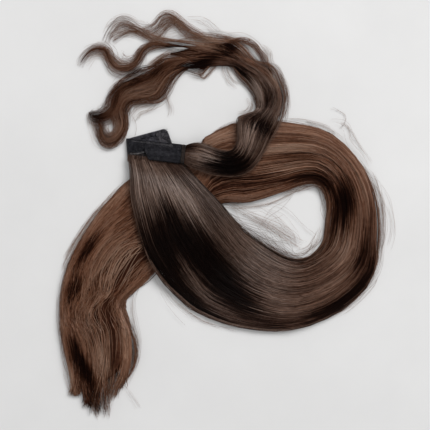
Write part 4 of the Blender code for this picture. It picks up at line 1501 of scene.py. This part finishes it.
def band_rows():
    """Middle points of the folded strip, from the flap's cut end round the fold to the front's end."""
    flap_end = [on_flap(FLAP_LENGTH + bow * TAPE_WIDTH, share * TAPE_WIDTH) for share, bow in FLAP_END]
    front_end = [on_front(FRONT_LENGTH, share * TAPE_WIDTH) for share, _ in FLAP_END]
    fold = [FOLD_TOP + FOLD_LINE * share for share, _ in FLAP_END]
    rows = []
    for step in range(FLAT_STEPS):
        part = step / FLAT_STEPS
        rows.append([(*end.lerp(start, part), FLAP_MIDDLE_Z) for end, start in zip(flap_end, fold)])
    for step in range(FOLD_STEPS + 1):
        turn = pi * (step / FOLD_STEPS - 0.5)
        out = -direction(FOLD_TURN) * FOLD_RADIUS * cos(turn)
        height = FLAP_MIDDLE_Z + FOLD_RADIUS * (1 + sin(turn))
        rows.append([(*(point + out), height) for point in fold])
    for step in range(1, FLAT_STEPS + 1):
        part = step / FLAT_STEPS
        rows.append([(*start.lerp(end, part), FRONT_MIDDLE_Z) for start, end in zip(fold, front_end)])
    return rows


def tape_row(on_tape, first, last, number, across, height):
    """Points in a row along the flap or the front, all at one place across it."""
    return [(*on_tape(along, across), height) for along in np.linspace(first, last, number)]


def tab_rise(share):
    """Height of the tab's middle face, which steps up over the sewn heading."""
    return float(TAB_LOW_Z + smoothstep(TAB_RISE_FROM, TAB_RISE_TO, share) * (TAB_HIGH_Z - TAB_LOW_Z))


def tab_rows():
    """Middle points of the tab, with one corner cut."""
    rows = []
    for share in np.linspace(0, 1, 13):
        cut = max(share - TAB_CORNER_FROM, 0) / (1 - TAB_CORNER_FROM) * TAB_CORNER
        first, last = TAB_START + cut, TAB_START + TAB_LENGTH
        rows.append(tape_row(on_front, first, last, 15, share * TAPE_WIDTH, tab_rise(share)))
    return rows


def patch_rows():
    """Middle points of the hook patch, which follows the flap's cut end."""
    height = TAPE_WALL + PIECE_GAP + PATCH_WALL / 2
    rows = []
    for share, bow in FLAP_END:
        across = PIECE_GAP + share * (TAPE_WIDTH - 2 * PIECE_GAP)
        end = FLAP_LENGTH + bow * TAPE_WIDTH - PIECE_GAP
        rows.append(tape_row(on_flap, FLAP_LENGTH - PATCH_LENGTH, end, 6, across, height))
    return rows


def heading_rows():
    last = HEADING_INSET + HEADING_LENGTH
    return [tape_row(on_front, HEADING_INSET, last, 24, across, SEWN_Z + HEADING_WALL / 2)
            for across in np.linspace(TAPE_WIDTH - HEADING_WIDTH, TAPE_WIDTH, 4)]


def wrap_heading_rows():
    last = WRAP_START + WRAP_HEADING_LENGTH
    return [tape_row(on_front, WRAP_START, last, 3, across, SEWN_Z + WRAP_HEADING_WALL / 2)
            for across in np.linspace(0, TAPE_WIDTH, 10)]


# Fibres along the band's edges, creases and stitches: pale ones along the edges are frayed fibres with a
# painted edge highlight, dark ones along creases and under raised edges are painted shade. Points in
# millimetres from the lay's top left corner, number, length and spread in millimetres, tone
Seam = namedtuple("Seam", "points number length spread tone")
SEAMS = (
    Seam(((131, 140.8), (145, 142.2), (160, 144.0), (172, 145.2)), 170, 2.6, 0.35, 0.72),
    Seam(((156, 144.6), (172, 146.4)), 80, 2.6, 0.7, 0.66),
    Seam(((128, 139.2), (145, 134.8), (163, 130.4)), 110, 2.2, 0.5, 0.60),
    Seam(((164, 131), (168, 136), (171, 143)), 90, 2.2, 0.5, 0.60),
    Seam(((155, 134), (158, 138), (160, 143)), 40, 1.6, 0.35, 0.10),
    Seam(((163, 137), (167, 140), (170, 142)), 70, 2.6, 1.3, 0.10),
    Seam(((140, 138.5), (154, 135.5)), 70, 3.0, 1.0, 0.14),
    Seam(((130, 153.8), (137, 153.4), (144.6, 151.8)), 90, 1.8, 0.35, 0.98),
    Seam(((130, 151.4), (144, 149.6)), 70, 2.2, 0.8, 0.10),
    Seam(((130, 156.2), (145, 155.4)), 60, 2.0, 0.6, 0.16),
    Seam(((145, 150), (146, 153), (150, 160)), 40, 1.6, 0.35, 0.46),
    Seam(((150, 160.5), (165, 162.4), (179, 164)), 70, 2.2, 0.5, 0.12),
    Seam(((127.2, 140), (128.0, 147), (129.4, 157)), 60, 1.8, 0.4, 0.48),
    Seam(((181, 146), (180, 155), (180, 163)), 60, 2.0, 0.5, 0.14),
)


def band_top(x, y):
    """Height of the band's upper face at a point of its plan."""
    offset = Vector((x, y)) - FOLD_TOP
    along, across = offset.dot(direction(FRONT_TURN)), offset.dot(downward(FRONT_TURN))
    if across < 0:
        low_along = offset.dot(direction(FLAP_TURN))
        on_patch = low_along > FLAP_LENGTH - PATCH_LENGTH
        return TAPE_WALL + on_patch * (PIECE_GAP + PATCH_WALL)
    share = across / TAPE_WIDTH
    if along > WRAP_START:
        return SEWN_Z + WRAP_HEADING_WALL
    if along > TAB_START + TAB_CORNER * smoothstep(TAB_CORNER_FROM, 1, share):
        return tab_rise(share) + TAPE_WALL / 2
    if across > TAPE_WIDTH - HEADING_WIDTH:
        return SEWN_Z + HEADING_WALL
    return FRONT_MIDDLE_Z + TAPE_WALL / 2


def fibre(chance, x, y, turn, length, tone, rise):
    """One short fibre that lies on the band with its middle raised."""
    steps = np.array((-0.5, 0.0, 0.5)) * length
    bend = chance.normal(0, 0.12) * length
    points = []
    for step, lift, aside in zip(steps, (0.0, rise, 0.0), (0.0, bend, 0.0)):
        place_x = x + step * cos(turn) - aside * sin(turn)
        place_y = y + step * sin(turn) + aside * cos(turn)
        points.append((place_x, place_y, band_top(place_x, place_y) + 0.0001 + lift))
    return Strand(np.array(points), np.array((0.5, 1.0, 0.5)), np.full(3, tone), np.zeros(3))


def band_fuzz(chance, number):
    """The nap: short fibres all over the faces that show."""
    fibres = []
    while len(fibres) < number:
        if chance.random() < FLAP_FUZZ_SHARE:
            place = on_flap(chance.uniform(0.001, FLAP_LENGTH), chance.uniform(0.0005, TAPE_WIDTH / 2))
            if (place - FOLD_TOP).dot(downward(FRONT_TURN)) > 0:
                continue
        else:
            along = chance.uniform(0.001, WRAP_START - 0.001)
            place = on_front(along, chance.uniform(0.0005, TAPE_WIDTH - 0.0005))
        length = chance.uniform(0.0010, 0.0026)
        tone = float(np.clip(chance.normal(0.34, 0.16), 0, 1))
        turn = chance.uniform(0, pi)
        fibres.append(fibre(chance, *place, turn, length, tone, chance.uniform(0.0001, 0.0004)))
    return fibres


def seam_fibres(chance):
    """Fibres laid close along the edges, the creases and the rows of stitches, with painted shade and painted
    edge highlights in their tones.
    """
    fibres = []
    for seam in SEAMS:
        line = from_corner(seam.points)
        for _ in range(seam.number):
            place = chance.uniform(0, len(line) - 1)
            here, after = eased(line, np.array((max(place - 0.05, 0), place)))
            turn = float(np.arctan2(*(after - here)[::-1])) + chance.normal(0, 0.35)
            x, y = after + chance.normal(0, seam.spread / 1000, 2)
            tone = float(np.clip(seam.tone + chance.normal(0, 0.08), 0, 1))
            length = seam.length / 1000 * chance.uniform(0.6, 1.1)
            fibres.append(fibre(chance, x, y, turn, length, tone, chance.uniform(0.0001, 0.0003)))
    return fibres


def fibre_material(name):
    """Fibres of the tape and its thread, from charcoal to pale grey."""
    material, tree = new_material(name)
    shade = toned_shade(tree, 700.0, 0.3)
    finish_material(tree, {
        "Base Color": tree.node("ShaderNodeValToRGB", {"stops": TAPE_FIBRES}, {"Fac": shade}),
        "Roughness": 0.8,
        "Specular IOR Level": 0.1,
    })
    return material


CAMERA_HEIGHT = 1.6
VIEW_WIDTH = 0.430
HAIR_MIDDLE_Z = 0.008
SENSOR = 36
FLOOR_REACH = 3.0
FLOOR_Z = -0.0006
WORLD_STRENGTH = 0.42
LIT_PLACE = (0.065, -0.07, 0.0)
LIGHT_COLOUR = (1.0, 0.995, 0.99)
FLOOR_DARK = (0.64, 0.64, 0.64, 1)
FLOOR_PALE = (0.75, 0.75, 0.75, 1)

# Soft area lights: name, place, size, power
LIGHTS = (
    ("window", (1.45, 2.05, 2.5), (2.4, 1.6), 112),
    ("fill", (-0.6, -2.2, 3.2), (3.0, 3.0), 24),
)


def add_camera():
    """Straight down on the lay, as the photograph shows it, from well above the hair."""
    data = bpy.data.cameras.new("camera")
    data.sensor_width = SENSOR
    data.lens = SENSOR * CAMERA_HEIGHT / VIEW_WIDTH
    camera = new_piece("camera", data)
    camera.location = (*(LAY_CORNER + np.array((VIEW_WIDTH, -VIEW_WIDTH)) / 2), CAMERA_HEIGHT + HAIR_MIDDLE_Z)
    bpy.context.scene.camera = camera


def add_light(name, place, size, power):
    data = bpy.data.lights.new(name, "AREA")
    data.shape = "RECTANGLE"
    data.size, data.size_y = size
    data.energy = power
    data.color = LIGHT_COLOUR
    light = new_piece(name, data)
    light.location = place
    light.rotation_euler = (Vector(LIT_PLACE) - Vector(place)).to_track_quat("-Z", "Y").to_euler()


def add_studio():
    scene = bpy.context.scene
    scene.view_settings.view_transform = "Standard"
    world = bpy.data.worlds.new("studio")
    world.use_nodes = True
    backdrop = world.node_tree.nodes["Background"]
    backdrop.inputs["Color"].default_value = (1.0, 1.0, 1.0, 1)
    backdrop.inputs["Strength"].default_value = WORLD_STRENGTH
    scene.world = world
    for light in LIGHTS:
        add_light(*light)
    material, tree = new_material("pale_floor")
    clouds = tree.noise(tree.node("ShaderNodeTexCoord", output="Object"), 6.0, 5.0, 0.6)
    colour = tree.mix_colours(clouds, FLOOR_DARK, FLOOR_PALE)
    finish_material(tree, {"Base Color": colour, "Roughness": 0.9, "Specular IOR Level": 0.1})
    mesh = bpy.data.meshes.new("floor")
    corners = [(x * FLOOR_REACH, y * FLOOR_REACH, FLOOR_Z) for x, y in ((-1, -1), (1, -1), (1, 1), (-1, 1))]
    mesh.from_pydata(corners, [], [(0, 1, 2, 3)])
    mesh.materials.append(material)
    new_piece("floor", mesh)


def keep(piece, slot, *nodes):
    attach(piece, "root")
    if nodes:
        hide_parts(*nodes)


def add_band(chance):
    tape = felt_material("charcoal_felt", (0.0040, 0.0040, 0.0056), (0.0265, 0.0256, 0.0310), 900)
    hook = felt_material("hook_tape_dull", (0.0120, 0.0120, 0.0145), (0.0780, 0.0740, 0.0820), 1500)
    sewn = felt_material("weft_binding", (0.0080, 0.0055, 0.0048), (0.0300, 0.0220, 0.0190), 1200)
    strips = (
        ("felt_band", band_rows(), TAPE_WALL, tape, "felted_tape", "base_band"),
        ("felt_tab", uneven(chance, tab_rows(), 0.0002), TAPE_WALL, tape, "felted_tape", "closure_tab"),
        ("hook_square", patch_rows(), PATCH_WALL, hook, "hook_tape", "hook_patch"),
        ("sewn_weft_edge", heading_rows(), HEADING_WALL, sewn, "sewn_weft", "weft_heading"),
        ("wrap_weft_edge", wrap_heading_rows(), WRAP_HEADING_WALL, sewn, "sewn_weft", "wrap_heading"),
    )
    for name, rows, wall, finish, slot, node in strips:
        keep(cloth_piece(name, rows, wall, finish), slot, node)
    fibres = band_fuzz(chance, FUZZ_NUMBER) + seam_fibres(chance)
    keep(hair_piece("felt_fibres", fibres, fibre_material("felt_fibre")), "felted_tape")


def tress_warmth(place):
    return float(along_tress(WARMTH, place))


def wrap_warmth(place):
    return float(0.10 + 0.75 * smoothstep(7, 14, place))


def add_hair(chance):
    hair = hair_material("brown_hair")
    painted_shade_hair = hair_material("brown_hair_painted_shade")
    tress, wrap = ("tress_hair", "main_tress"), ("wrap_hair", "wrap_strand")
    keep(core_piece("tress_core", TRESS_CORE, tress_warmth, painted_shade_hair), *tress)
    keep(core_piece("wrap_core", WRAP_CORE, wrap_warmth, painted_shade_hair), *wrap)
    for name, number, layer, end in TRESS_LAYERS:
        keep(hair_piece("tress_hair_" + name, tress_strands(chance, number, layer, end), hair), *tress)
    for name in CORED_LOCKS:
        keep(lock_core(name, LOCK_CORE_SHARE, painted_shade_hair), *wrap)
    for name, names, filling in WRAP_LAYERS:
        strands = wrap_strands(chance, names) + body_strands(chance, filling)
        keep(hair_piece("wrap_hair_" + name, strands, hair), *wrap)
    keep(hair_piece("tress_roots", root_strands(chance, ROOT_NUMBER), hair), "tress_hair")
    strays = stray_strands(chance, TRESS, TRESS_STRAYS, tress_warmth, 0.006)
    keep(hair_piece("tress_strays", strays, hair), "tress_hair")
    strays = stray_strands(chance, WRAP, WRAP_STRAYS, wrap_warmth, 0.004) + lock_stray_strands(chance)
    keep(hair_piece("wrap_strays", strays, hair), "wrap_hair")
    keep(hair_piece("loose_hairs", wisp_strands(chance), hair), "tress_hair")


def main():
    chance = np.random.default_rng(SEED)
    add_camera()
    add_studio()
    add_band(chance)
    add_hair(chance)


main()
